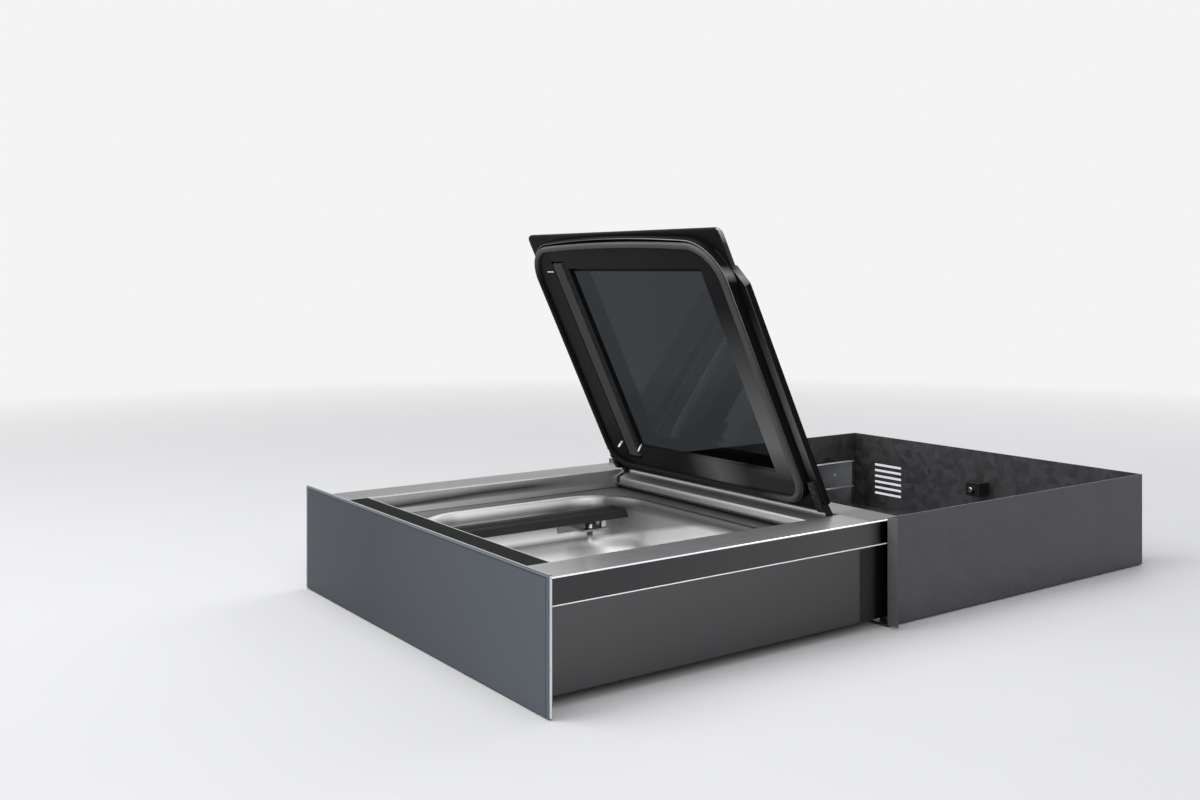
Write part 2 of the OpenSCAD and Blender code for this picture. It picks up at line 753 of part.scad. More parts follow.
module hose_run(length) rotate([0, 90, 0]) linear_extrude(length) hose_section();

pump_port_x = pump_x - 10;
valve_front = valve_rear - valve_d;

module suction_hose() color(black) on_drawer() {
    translate([valve_x, valve_rear, hose_z]) rotate([-90, 0, 0])
        linear_extrude(hose_y - hose_bend - valve_rear) hose_section();
    translate([valve_x - hose_bend, hose_y - hose_bend, hose_z]) hose_bend_flat(0);
    translate([pump_port_x + hose_bend, hose_y, hose_z])
        hose_run(valve_x - pump_port_x - 2 * hose_bend);
    translate([pump_port_x + hose_bend, hose_y - hose_bend, hose_z]) hose_bend_flat(90);
}

module valve_block() color([0.7, 0.7, 0.72]) on_drawer() difference() {
    block(valve_x - valve_w / 2, valve_x + valve_w / 2, valve_front, valve_rear, pan_top, pan_top + valve_h);
    translate([valve_x, valve_rear + eps, hose_z]) rotate([90, 0, 0]) cylinder(h = 20, r = hose_r - hose_wall);
}

module valve_coils() color(black) on_drawer() for (s = [-1, 1])
    translate([valve_x + s * 12, valve_rear - valve_d / 2, pan_top + valve_h]) {
        cylinder(h = 26, r = 10);
        cylinder(h = 31, r = 3);
    }

// Pump and motor on rubber feet

module vacuum_pump() color([0.55, 0.56, 0.58]) on_drawer() difference() {
    union() {
        block(pump_x - pump_w / 2, pump_x + pump_w / 2, pump_front, pump_rear, pump_low, pump_low + pump_h);
        for (i = [0:4])
            block(pump_x - pump_w / 2 + 8 + i * 15, pump_x - pump_w / 2 + 12 + i * 15, pump_front + 4,
                pump_rear - 4, pump_low + pump_h, pump_low + pump_h + 5);
        translate([pump_port_x, pump_rear, hose_z]) rotate([-90, 0, 0])
            cylinder(h = hose_y - hose_bend - pump_rear, r = hose_r);
    }
    translate([pump_port_x, pump_rear + 20, hose_z]) rotate([90, 0, 0]) cylinder(h = 35, r = hose_r - hose_wall);
}

module pump_cover() color([0.4, 0.41, 0.43]) on_drawer() {
    x0 = pump_x - pump_w / 2;
    block(x0 - 8, x0, pump_front + 3, pump_rear - 3, pump_low + 3, pump_low + pump_h - 3);
    for (y = [pump_front + 10, pump_rear - 10])
        for (z = [pump_low + 10, pump_low + pump_h - 10])
            translate([x0 - 8, y, z]) rotate([0, -90, 0]) cylinder(h = 4, r = 4, $fn = 6);
}

module pump_motor() color(dark_steel) on_drawer() translate([motor_left, pump_mid_y, motor_z])
    rotate([0, 90, 0]) {
        cylinder(h = motor_len, r = motor_r);
        translate([0, 0, motor_len]) cylinder(h = 12, r = motor_r - 5);
        for (a = [60:20:300])
            rotate([0, 0, a]) translate([motor_r - 1, -1, 12]) cube([2.8, 2, motor_len - 30]);
    }

module pump_feet() color(black) on_drawer() {
    for (x = [pump_x - pump_w / 2 + 12, pump_x + pump_w / 2 - 12])
        for (y = [pump_front + 12, pump_rear - 12])
            translate([x, y, pan_top]) cylinder(h = foot_h, r = 8);
    for (x = [motor_left + 25, motor_left + motor_len - 25]) difference() {
        block(x - 8, x + 8, pump_mid_y - 22, pump_mid_y + 22, pan_top, motor_z - motor_r + 6);
        translate([x - 9, pump_mid_y, motor_z]) rotate([0, 90, 0]) cylinder(h = 18, r = motor_r + 0.05);
    }
}

// Electrical parts beside the chamber

module transformer() color([0.25, 0.2, 0.18]) on_drawer() {
    x0 = -chassis_half + sheet_t;
    block(x0, x0 + core_w, pocket_mid - core_l / 2, pocket_mid + core_l / 2, pan_top, pan_top + core_h);
    block(x0 + 5, x0 + core_w - 5, pocket_mid - core_l / 2 - 14, pocket_mid + core_l / 2 + 14,
        pan_top + core_h / 5, pan_top + core_h * 4 / 5);
}

module power_board() color([0.1, 0.35, 0.2]) on_drawer() {
    x1 = chassis_half - sheet_t;
    y0 = pocket_mid - power_l / 2;
    low = pan_top + 8;
    block(x1 - 9.6, x1 - 8, y0, y0 + power_l, low, low + power_h);
    for (y = [y0 + 8, y0 + power_l - 8])
        for (z = [low + 6, low + power_h - 6])
            translate([x1 - 8, y, z]) rotate([0, 90, 0]) cylinder(h = 8, r = 3);
    for (i = [0:2])
        translate([x1 - 9.6, y0 + 30 + i * 24, low + 42]) rotate([0, -90, 0]) cylinder(h = 22, r = 9);
    for (i = [0:3])
        block(x1 - 25.6, x1 - 9.6, y0 + 105 + i * 20, y0 + 118 + i * 20, low + 32, low + power_h - 6);
    block(x1 - 29.6, x1 - 9.6, y0 + 20, y0 + 70, low + 4, low + 26);
}

module mains_inlet() color(black) on_drawer() difference() {
    union() {
        block(inlet_x - 13.8, inlet_x + 13.8, works_rear - 18, body_rear, inlet_z - 10.8, inlet_z + 10.8);
        block(inlet_x - 25, inlet_x + 25, body_rear, body_rear + 3, inlet_z - 12, inlet_z + 12);
    }
    block(inlet_x - 12, inlet_x + 12, works_rear - 12, body_rear + 3 + eps, inlet_z - 8, inlet_z + 8);
}

// Cooling fan

fan_front = works_rear - fan_d;
fan_hub_r = 12;

module fan_frame() color(black) on_drawer() {
    difference() {
        block(fan_x - fan_w / 2, fan_x + fan_w / 2, fan_front, works_rear, fan_z - fan_w / 2, fan_z + fan_w / 2);
        translate([fan_x, works_rear + eps, fan_z]) rotate([90, 0, 0]) cylinder(h = fan_d + 2 * eps, r = fan_w / 2 - 2);
    }
    for (a = [0:90:270])
        translate([fan_x, fan_front, fan_z]) rotate([0, a + 45, 0]) translate([fan_hub_r - 1, 0, -1.5])
            cube([fan_w / 2 - fan_hub_r, 2, 3]);
    translate([fan_x, fan_front, fan_z]) rotate([-90, 0, 0]) {
        cylinder(h = 2, r = fan_hub_r);
        cylinder(h = fan_d - 2, r = fan_shaft_r);
    }
}

module fan_rotor() color(dark_steel) on_drawer() translate([fan_x, fan_front + 2.5, fan_z]) rotate([-90, 0, 0]) {
    difference() {
        cylinder(h = fan_d - 4.5, r = fan_hub_r);
        translate([0, 0, -eps]) cylinder(h = fan_d, r = fan_shaft_r + fan_clear);
    }
    for (i = [0:fan_blades - 1])
        rotate([0, 0, i * 360 / fan_blades]) translate([fan_hub_r - 1, 0, (fan_d - 4.5) / 2])
            rotate([35, 0, 0]) translate([0, -5, -0.6]) cube([fan_w / 2 - 2 - fan_hub_r - 0.8, 10, 1.2]);
}

// Lid

module cover_outline() polygon([
    [-cover_half, hinge_y - 8], [cover_half, hinge_y - 8],
    [cover_half, cover_front + 23], [cover_half - 12, cover_front],
    [-cover_half + 12, cover_front], [-cover_half, cover_front + 23]]);

module lip_outline() polygon([
    [-lip_half, cover_front + 30], [lip_half, cover_front + 30],
    [lip_half, lip_front + 8], [lip_half - 8, lip_front],
    [-lip_half + 8, lip_front], [-lip_half, lip_front + 8]]);

module lid_frame() color(black) on_lid() difference() {
    union() {
        translate([0, 0, cover_under]) linear_extrude(cover_t) cover_outline();
        translate([0, 0, lip_under]) linear_extrude(lip_t) lip_outline();
        round_plate(plateau_half, plateau_front, plateau_rear, plateau_r, lid_under, cover_under + 0.1);
    }
    translate([-cover_half - 1, hinge_y - 18.4, cover_under]) rotate([42, 0, 0])
        translate([0, 0, -20]) cube([2 * cover_half + 2, 30, 20]);
    both_sides() block(arm_x - arm_t / 2 - 0.2, cover_half + 1, hinge_y - 26, hinge_y, lid_under, lid_top + 1);
    block(window_left, window_right, window_front, window_rear, lid_under - eps, lip_under);
    block(window_left, window_right, cover_front + 7, window_rear, lid_under - eps, lid_top + 1);
    glass_blocks(0, lid_top + 1);
    block(bar_x - counter_w / 2 - 6, bar_x + counter_w / 2 + 6, counter_front, counter_rear, lid_under - eps, lid_under + 6);
    translate([0, plateau_mid, lid_under]) swept_ring(plateau_half, plateau_len_half, plateau_r)
        translate([plateau_r - gasket_inset - gasket_w - 0.1, -eps]) square([gasket_w + 0.2, gasket_seat + eps]);
}

// The lid glass, or with no clearance its seat, narrower at the cover's cut corners
module glass_blocks(clear, top) {
    wide = cover_half - glass_rim - clear;
    block(-wide, wide, cover_front + 25 + clear, glass_rear - clear, lid_top - lid_glass_t, top);
    block(-wide + 9, wide - 9, cover_front + glass_rim + clear, cover_front + 25 + eps, lid_top - lid_glass_t, top);
}

module lid_glass() color([0.25, 0.27, 0.3, 0.5]) on_lid() glass_blocks(glass_clear, lid_top);

module lid_gasket() color([0.35, 0.35, 0.36]) on_lid() translate([0, plateau_mid, 0])
    swept_ring(plateau_half, plateau_len_half, plateau_r) {
        bead_y = flange_z + gasket_gap + gasket_w / 2;
        translate([plateau_r - gasket_inset - gasket_w, bead_y])
            square([gasket_w, lid_under + gasket_seat - bead_y]);
        translate([plateau_r - gasket_inset - gasket_w / 2, bead_y]) circle(gasket_w / 2);
    }

counter_face = lid_under - counter_proud;

module counter_bar() color([0.45, 0.45, 0.46]) on_lid() {
    block(bar_x - counter_w / 2, bar_x + counter_w / 2, counter_front + 4, counter_rear - 4, lid_under, lid_under + 6);
    block(bar_x - counter_w / 2 + 4, bar_x + counter_w / 2 - 4, counter_front + 6, counter_rear - 6, counter_face, lid_under);
}

module counter_clips() color(bright_steel) on_lid() for (y = [counter_front + 12, counter_rear - 24])
    for (s = [-1, 1])
        block(bar_x + s * (counter_w / 2 + 3) - 3, bar_x + s * (counter_w / 2 + 3) + 3, y, y + 8, lid_under, lid_under + 6);

// Hinge arm: plate under the cover, gooseneck over the ledge, round eye
module lid_arm() difference() {
    translate([arm_x - arm_t / 2, hinge_y, hinge_z]) rotate([90, 0, 90]) {
        top = cover_under - hinge_z;
        cylinder(h = arm_t, r = 5.2);
        linear_extrude(arm_t)
            polygon([[-63, top - 7], [-63, top], [-25.8, top], [-24, 8.5], [-9, 10.2], [-1.5, 9.8],
                [4.1, 2.9], [2, -4.6], [-3, -4.1], [-7, 4.4], [-14, 4.2], [-17.5, 0], [-21, top - 7]]);
    }
    translate([arm_x - arm_t / 2 - eps, hinge_y, hinge_z]) rotate([0, 90, 0])
        cylinder(h = arm_t + 2 * eps, r = hinge_pin_r + hinge_clear);
}

module lid_arm_right() color(dark_steel) on_lid() lid_arm();

module lid_arm_left() color(dark_steel) on_lid() mirror([1, 0, 0]) lid_arm();

module lid_screws() color(steel) on_lid() both_sides() for (y = [hinge_y - 55, hinge_y - 42, hinge_y - 30])
    translate([arm_x, y, cover_under - 7 - 1.6]) cylinder(h = 1.6, r = 3);

casing_base();
casing_wall_left();
casing_wall_right();
casing_rear_wall();
runner_bracket_left();
runner_bracket_right();
runner_outer_left();
runner_outer_right();
latch_housing();
runner_middle_left();
runner_middle_right();
latch_plunger();
runner_inner_left();
runner_inner_right();
front_glass();
front_carrier();
chassis_pan();
chassis_wall_left();
chassis_wall_right();
side_panel_left();
side_panel_right();
rear_panel();
chamber_tub();
top_frame();
control_glass();
control_board();
rear_ledge();
hinge_bracket_left();
hinge_bracket_right();
hinge_pins();
seal_bar_supports();
seal_contacts();
suction_port();
suction_hose();
valve_block();
valve_coils();
vacuum_pump();
pump_cover();
pump_motor();
pump_feet();
transformer();
power_board();
fan_frame();
fan_rotor();
mains_inlet();
lid_frame();
lid_glass();
lid_gasket();
counter_bar();
counter_clips();
lid_arm_left();
lid_arm_right();
lid_screws();
seal_bar();
seal_wire();
lift_pins();
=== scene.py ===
"""Vacuum sealing drawer, drawn out of its casing, with its glass lid open."""

import json
import math

import bmesh
import bpy
from mathutils import Matrix, Vector

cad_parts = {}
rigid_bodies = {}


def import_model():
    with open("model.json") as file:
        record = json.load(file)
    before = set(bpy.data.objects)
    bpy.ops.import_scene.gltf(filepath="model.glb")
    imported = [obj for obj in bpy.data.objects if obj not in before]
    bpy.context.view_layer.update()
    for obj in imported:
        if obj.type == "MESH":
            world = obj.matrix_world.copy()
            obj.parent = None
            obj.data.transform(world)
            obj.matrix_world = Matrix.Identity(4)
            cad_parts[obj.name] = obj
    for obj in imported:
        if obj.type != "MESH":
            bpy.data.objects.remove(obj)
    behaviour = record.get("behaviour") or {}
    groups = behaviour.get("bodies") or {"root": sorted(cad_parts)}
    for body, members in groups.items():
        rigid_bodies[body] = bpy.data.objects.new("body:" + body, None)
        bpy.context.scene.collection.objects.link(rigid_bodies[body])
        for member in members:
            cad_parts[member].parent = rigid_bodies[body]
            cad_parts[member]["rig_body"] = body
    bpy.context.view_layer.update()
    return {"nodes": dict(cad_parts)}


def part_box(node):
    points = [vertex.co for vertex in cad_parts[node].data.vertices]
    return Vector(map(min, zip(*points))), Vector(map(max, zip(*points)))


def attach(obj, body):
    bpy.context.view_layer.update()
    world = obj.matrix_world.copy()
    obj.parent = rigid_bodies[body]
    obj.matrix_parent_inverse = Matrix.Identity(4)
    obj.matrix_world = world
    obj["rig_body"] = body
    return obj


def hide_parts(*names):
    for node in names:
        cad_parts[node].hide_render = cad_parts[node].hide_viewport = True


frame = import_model()

MM = 0.001
glass_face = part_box("front_glass")[0].y
body_of_node = {name: piece["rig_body"] for name, piece in frame["nodes"].items()}


def at(x, y, z):
    """A place on the drawer: millimetres to the right, behind the face of the front glass, and up."""
    return Vector((x * MM, y * MM + glass_face, z * MM))


def about(x, y, z):
    """A place about the origin, in millimetres, for small parts before they are set in rows."""
    return Vector((x * MM, y * MM, z * MM))


# Sizes of the drawer that the dressed pieces share, in millimetres
RECESS_HALF, RECESS_FRONT, DECK_FRONT, BODY_HALF, BODY_REAR = 219, 54, 476, 272.5, 527
FLANGE_TOP, BODY_TOP, SHEET, FOLD_TALL = 99, 126.5, 1.2, 1.7
POCKET_HALF, POCKET_LONG, POCKET_MID, CORNER_R, FLOOR_R, FLOOR_Z = 187, 164, 260, 75, 30, 13
RIM_R, RIM_TALL, RIM_FLAT = 8, 17, 3
BAR_X, BAR_FRONT, BAR_REAR, BAR_LOW, BAR_TOP = -138, 112, 403, 75.5, 88.5
HINGE_Y, HINGE_Z, LID_OPEN = 465.75, 114, 64
LID_TOP, COVER_UNDER, LID_UNDER, COVER_HALF, PANE_THICK = 124.3, 115.3, 103.8, 215.5, 5
RAISED_HALF, RAISED_FRONT, RAISED_REAR = 203.5, 74.75, 436.75
WINDOW_LEFT, WINDOW_RIGHT, WINDOW_REAR = -117, 161, 392.75

hinge = at(0, HINGE_Y, HINGE_Z)
lid_turn = Matrix.Rotation(math.radians(-LID_OPEN), 4, "X")
open_lid = Matrix.Translation(hinge) @ lid_turn @ Matrix.Translation(-hinge)


# Finishes

class Tone:
    """A value on its way through a finish, so that sums are written plainly."""

    def __init__(self, nodes, socket):
        self.nodes, self.socket = nodes, socket

    def _sum(self, operation, *values):
        return self.nodes.add("Math", {"operation": operation}, dict(enumerate(values)))

    def __add__(self, other):
        return self._sum("ADD", self, other)

    def __radd__(self, other):
        return self._sum("ADD", other, self)

    def __sub__(self, other):
        return self._sum("SUBTRACT", self, other)

    def __rsub__(self, other):
        return self._sum("SUBTRACT", other, self)

    def __mul__(self, other):
        return self._sum("MULTIPLY", self, other)

    def __rmul__(self, other):
        return self._sum("MULTIPLY", other, self)

    def between(self, low, high):
        """0 below low, 1 above high, straight in between."""
        return self.nodes.add("MapRange", {"clamp": True}, {"Value": self, "From Min": low, "From Max": high})

    def below(self, low, high):
        """1 below low, 0 above high, straight in between."""
        return 1 - self.between(low, high)

    def near(self, middle, half):
        """1 at the middle, down to 0 at half on either side."""
        return 1 - self._sum("ABSOLUTE", self - middle).between(0, half)


class Nodes:
    """A shader tree under way, with one way to add each node."""

    def __init__(self, tree):
        self.tree = tree

    def set(self, socket, value):
        if isinstance(value, Tone):
            self.tree.links.new(value.socket, socket)
        elif hasattr(socket.default_value, "__len__") and not hasattr(value, "__len__"):
            socket.default_value = [value] * len(socket.default_value)
        else:
            socket.default_value = value

    def add(self, kind, settings=None, values=None, output=0):
        node = self.tree.nodes.new("ShaderNode" + kind)
        for name, value in (settings or {}).items():
            setattr(node, name, value)
        for name, value in (values or {}).items():
            self.set(node.inputs[name], value)
        return Tone(self, node.outputs[output])

    def mixed(self, share, first, second):
        """From the first colour to the second as share goes from 0 to 1."""
        return self.add("Mix", {"data_type": "RGBA"}, {0: share, 6: first, 7: second}, 2)

    def seen(self):
        """1 for rays that show the background: straight, in metal and through glass."""
        rays = self.add("LightPath").socket.node.outputs
        straight, metal, glass = (Tone(self, rays[f"Is {kind} Ray"])
                                  for kind in ("Camera", "Glossy", "Transmission"))
        return (straight + metal + glass).between(0, 1)


class Finish(Nodes):
    """A material under way, with its pattern in the object's own coordinates."""

    def __init__(self, name, **constants):
        self.material = bpy.data.materials.new(name)
        self.material.use_nodes = True
        super().__init__(self.material.node_tree)
        self.surface = self.tree.nodes["Principled BSDF"]
        self.to(**constants)
        self.place = self.add("TexCoord", output="Object")

    def to(self, **sockets):
        for name, value in sockets.items():
            self.set(self.surface.inputs[name.replace("_", " ")], value)

    def stretched(self, scale, turn=(0, 0, 0)):
        return self.add("Mapping", None, {"Vector": self.place, "Scale": scale, "Rotation": turn})

    def noise(self, scale, detail=2.0, rough=0.5):
        """Cloudy variation, 0 to 1, with so many features in a metre, the same or apart for each axis."""
        return self.add("TexNoise", None, {"Vector": self.stretched(scale), "Scale": 1.0, "Detail": detail,
                                           "Roughness": rough}, "Fac")

    def bands(self, axis, scale, distortion):
        """Even bands across an axis, 0 to 1."""
        return self.add("TexWave", {"bands_direction": axis}, {"Vector": self.place, "Scale": scale,
                                                               "Distortion": distortion}, "Fac")

    def axes(self):
        parts = self.add("SeparateXYZ", None, {0: self.place}).socket.node.outputs
        return [Tone(self, part) for part in parts]

    def body(self, share, colour, dark, light, fade=None):
        """The colour from a darker to a lighter form as share goes from 0 to 1, then toned by place."""
        base = self.mixed(share, lighter(colour, dark), lighter(colour, light))
        return fade(self, base) if fade else base

    def relief(self, height, depth, strength):
        self.to(Normal=self.add("Bump", None, {"Height": height, "Distance": depth, "Strength": strength}))


def shade(red, green=None, blue=None):
    """A colour as it looks on a screen, 0 to 255, in the shader's own scale."""
    levels = [c / 255 for c in (red, red if green is None else green, red if blue is None else blue)]
    return tuple(c / 12.92 if c < 0.04045 else ((c + 0.055) / 1.055) ** 2.4 for c in levels) + (1,)


def lighter(colour, by):
    return tuple(min(1.0, c * by) for c in colour[:3]) + (1.0,)


ALONG = {"X": (7, 1100, 1100), "Y": (1100, 7, 1100)}


def brushed(name, colour, rough, along="Y", streaks=0.16, fade=None, metal=0.86, glancing=1.0):
    """Sheet brushed along one axis. fade tones its colour by place, and glancing dims low reflections."""
    f = Finish(name, Metallic=metal, Specular_Tint=(glancing, glancing, glancing, 1))
    grain, cloud, mark = f.noise(ALONG[along], 3.0, 0.65), f.noise(5), f.noise(60, 4.0, 0.6)
    share = (grain - 0.5) * streaks * 4 + (cloud - 0.5) * 0.5 + 0.5
    f.to(Base_Color=f.body(share, colour, 1 - streaks, 1 + streaks, fade),
         Roughness=rough + (grain - 0.5) * 0.16 + (mark - 0.5) * 0.06)
    f.relief(grain, 0.000004, 0.5)
    return f.material


def drawn(name, colour, rough, grain_scale=260, fade=None, metal=1.0, dulled=None):
    """Deep-drawn sheet: satin, with slow waves and a fine grain. dulled tells how matt a place is."""
    f = Finish(name, Metallic=metal)
    wave, grain, rub = f.noise(9, 1.0), f.noise(grain_scale, 3.0, 0.6), f.noise((900, 40, 300), 3.0, 0.6)
    roughness = rough + (rub - 0.5) * 0.10 + (grain - 0.5) * 0.05
    if dulled:
        matt = dulled(f)
        roughness = roughness + matt * 0.2
        f.to(Metallic=metal - matt * 0.42)
    f.to(Base_Color=f.body((wave - 0.5) * 1.2 + (grain - 0.5) * 0.5 + 0.5, colour, 0.93, 1.05, fade),
         Roughness=roughness)
    f.relief(grain * 0.3 + rub * 0.2, 0.00003, 0.4)
    return f.material


def plated(name, colour, rough):
    """Zinc-plated sheet with its crystal pattern."""
    f = Finish(name, Metallic=1.0)
    crystals = f.add("TexVoronoi", None, {"Vector": f.stretched(90), "Scale": 1.0}, "Color")
    tone, cloud = f.add("SeparateColor", None, {0: crystals}), f.noise(30, 3.0)
    f.to(Base_Color=f.body((tone - 0.5) * 0.5 + (cloud - 0.5) * 0.6 + 0.5, colour, 0.86, 1.1),
         Roughness=rough + (tone - 0.5) * 0.12)
    f.relief(cloud, 0.00001, 0.3)
    return f.material


def moulded(name, colour, rough, grain=1500, level=0.3, depth=0.00002, fade=None):
    """Moulded or coated surface: fine grain, slight clouding and rub marks."""
    f = Finish(name, Specular_IOR_Level=level)
    fine, cloud, rub = f.noise(grain, 2.0, 0.6), f.noise(16, 3.0), f.noise((420, 60, 420), 3.0, 0.7)
    f.to(Base_Color=f.body((cloud - 0.5) * 0.9 + (fine - 0.5) * 0.5 + 0.5, colour, 0.85, 1.18, fade),
         Roughness=rough + (rub - 0.5) * 0.14 + (fine - 0.5) * 0.06)
    f.relief(fine, depth, 0.5)
    return f.material


def front_paint():
    """Grey-blue paint behind clear glass: lighter to the right as painted light, with a paler border and a
    dark line.
    """
    f = Finish("front_glass_blue", Specular_IOR_Level=0.05)
    x, _, z = f.axes()
    cloud, speck = f.noise(3), f.noise(2500)
    side = f.mixed(x.between(-0.1, 0.3) * 0.8 + (cloud - 0.5) * 0.3 + 0.1,
                   shade(60, 63, 68), shade(91, 96, 102))
    plain = f.mixed((speck - 0.5) * 0.6 + 0.3, side, shade(68, 72, 78))
    line = f.mixed(z.near(0.1332, 0.0009) + x.near(0.2932, 0.0012), plain, shade(48, 51, 56))
    border = f.mixed(x.between(0.2940, 0.2950), line, shade(94, 100, 106))
    border = f.mixed(x.below(-0.2946, -0.2930), border, shade(104, 109, 115))
    f.to(Base_Color=f.mixed(z.between(0.1342, 0.1350), border, shade(116, 121, 127)),
         Roughness=0.3 + (cloud - 0.5) * 0.08)
    f.relief(f.noise(14, 1.0), 0.00002, 0.3)
    return f.material


def smoked_pane():
    f = Finish("lid_glass_smoked", Transmission_Weight=1.0, IOR=1.12)
    film = f.noise(4)
    f.to(Base_Color=f.body(film, shade(56, 59, 62), 0.94, 1.06), Roughness=film * 0.01)
    return f.material


def dark_strip():
    f = Finish("strip_glass_black", Specular_IOR_Level=0.0)
    film = f.noise((10, 40, 40), 3.0)
    f.to(Base_Color=f.mixed(film, shade(34, 35, 34), shade(40, 41, 39)), Roughness=0.3 + (film - 0.5) * 0.1)
    f.relief(f.noise(600), 0.00001, 0.4)
    return f.material


def tape_weave():
    f = Finish("sliding_tape_dark", Specular_IOR_Level=0.03)
    weave = f.bands("Y", 420.0, 0.4) * f.bands("X", 420.0, 0.4)
    f.to(Base_Color=f.mixed(weave, shade(26, 25, 24), shade(44, 42, 39)), Roughness=0.5 - weave * 0.1)
    f.relief(weave, 0.00005, 0.5)
    return f.material


def board_green():
    f = Finish("circuit_board_green", Specular_IOR_Level=0.5)
    tracks = f.add("TexBrick", {"offset": 0.35}, {"Vector": f.stretched(300, (0.5, 0.5, 0.3)), "Scale": 1.0,
                   "Mortar Size": 0.06, "Color1": shade(14, 66, 34), "Color2": shade(20, 82, 44),
                   "Mortar": shade(60, 110, 60)})
    f.to(Base_Color=tracks, Roughness=0.4 + f.noise(200) * 0.2)
    f.relief(f.noise(700), 0.00004, 0.4)
    return f.material


def core_sheets():
    f = Finish("transformer_core_sheets", Metallic=0.8)
    sheets, cloud = f.bands("X", 320.0, 0.2), f.noise(40, 3.0)
    f.to(Base_Color=f.mixed(sheets * 0.6 + cloud * 0.4, shade(58, 58, 60), shade(128, 126, 122)),
         Roughness=0.4 + cloud * 0.2)
    f.relief(sheets, 0.0001, 0.5)
    return f.material


def wound_tape():
    f = Finish("winding_tape", Specular_IOR_Level=0.35)
    turns = f.bands("Z", 160.0, 0.6)
    f.to(Base_Color=f.mixed(turns, shade(84, 52, 30), shade(150, 98, 52)), Roughness=0.45 + turns * 0.15)
    f.relief(turns, 0.0002, 0.6)
    return f.material


# How a finish changes over its piece, most of it painted light and shade. Places are in metres, as the
# object's coordinates give them.

def rim_painted_reflection(f, base):
    """Painted reflections: the left-hand rim is darker, the right-hand one a little darker towards the back.
    """
    x, y, _ = f.axes()
    right, painted_shade = x.between(0.20, 0.215), shade(60, 60, 61)
    # A soft curved edge across the right-hand rim, where its painted reflection darkens.
    painted_reflection_edge = (y + x * 0.62 + (f.noise(9, 1.0) - 0.5) * 0.012).between(-0.270, -0.262)
    toned = f.mixed(right * (0.38 - painted_reflection_edge * 0.22) + x.below(-0.222, -0.218) * 0.59, base, painted_shade)
    toned = f.mixed(right * y.between(-0.13, -0.03) * 0.5, toned, painted_shade)
    return f.mixed(y.between(-0.026, -0.020) * x.between(-0.2, 0.1) * 0.72, toned, painted_shade)


def wall_painted_reflection(f, base):
    """Painted reflections: a soft dark streak along the recess wall, up from under its front end, over a pale
    band at its foot.
    """
    x, y, z = f.axes()
    painted_streak = (z - 0.1105 - y.between(-0.40, -0.27) * 0.0045).near(0, 0.009) * y.below(-0.20, -0.10)
    toned = f.mixed(painted_streak * 0.95 + y.between(-0.08, -0.02) * 0.2, base, shade(52))
    foot = z.below(0.1068, 0.1086) * x.below(-0.1, 0.1) * (1 - y.between(-0.40, 0.0) * 0.75)
    return f.mixed(foot * 0.85, toned, shade(236))


def side_painted_shade(f, base):
    """Painted shade: the lower side is darker towards the back and the bottom, and dark where it runs in the
    casing.
    """
    _, y, z = f.axes()
    slow = f.mixed(y.between(-0.42, 0.02) * 0.3 + z.below(0.01, 0.1) * 0.32, base, shade(48, 48, 49))
    # Painted shade on the rear end of the side, under the flange line, where it meets the casing.
    painted_light = f.mixed(y.between(-0.0470, -0.0440) * z.below(0.0955, 0.097) * 0.85, slow, shade(30))
    return f.mixed(y.between(-0.024, -0.016), painted_light, shade(8))


def band_painted_shade(f, base):
    """Painted light: the upper side is a little lighter towards the back, and painted shade where it runs in
    the casing.
    """
    _, y, _ = f.axes()
    slow = f.mixed(y.between(-0.4, -0.05) * 0.5, base, shade(94))
    return f.mixed(y.between(-0.016, -0.008), slow, shade(8))


def tub_painted_light(f, base):
    """The tub's painted light: painted shade in its rear left corner, painted light on its floor, and soft
    painted shade lines along its left wall.
    """
    x, y, z = f.axes()
    rear = y.between(-0.122, -0.092) * x.between(-0.184, -0.150)
    above = (z - x * 0.24).between(0.0786, 0.0846)
    slow = y.between(-0.36, -0.10) * x.between(-0.1, 0.2)
    painted_shade = f.mixed(rear * (0.3 + above * 0.55) + slow * 0.2, base, shade(140))
    corner = y.between(-0.124, -0.108) * above * x.near(-0.160, 0.036)
    painted_shade = f.mixed(rear * z.between(0.080, 0.090) + corner * 0.85, painted_shade, shade(78))
    turn = y.near(-0.120, 0.022) * z.below(0.0915, 0.0955) * x.below(-0.180, -0.170)
    painted_shade = f.mixed(turn * 0.6, painted_shade, shade(96))
    # Painted light on the floor in front of the rear wall.
    painted_shade = f.mixed(z.below(0.018, 0.030) * y.below(-0.10, -0.07) * 0.8, painted_shade, shade(254))
    # Painted shade above and below the left rim's highlight, to narrow it.
    rolled = z.between(0.0955, 0.098) * 0.45 + z.below(0.084, 0.092) * z.between(0.045, 0.060) * 0.68
    painted_shade = f.mixed(x.below(-0.150, -0.110) * rolled, painted_shade, shade(90))
    return f.mixed(x.below(-0.180, -0.165) * z.near(0.0385, 0.008) * 0.8, painted_shade, shade(62))


def tub_matt(f):
    """The tub's floor is matt with use, and so is the rolled rim along its left."""
    x, _, z = f.axes()
    return z.below(0.014, 0.030) + z.near(0.094, 0.007) * x.below(-0.17, -0.12) * 0.7


def pin_painted_shade(f, base):
    """Lifting pins are plain low down and darker higher up, as painted shade under the bar."""
    return f.mixed(f.axes()[2].between(0.046, 0.056), base, shade(60))


def lid_painted_light(f, base):
    """Painted sheen, grey, low in the middle of the lid's underside and at its right, and painted shade left
    of the counter bar.
    """
    x, _, z = f.axes()
    low = x.near(0.045, 0.060) * z.below(0.180, 0.2)
    right = x.between(0.12, 0.15) * z.between(0.165, 0.21) * z.below(0.22, 0.38)
    toned = f.mixed(low * 0.5 + right * 0.8, base, shade(104, 104, 103))
    return f.mixed(x.below(-0.153, -0.150), toned, shade(14))


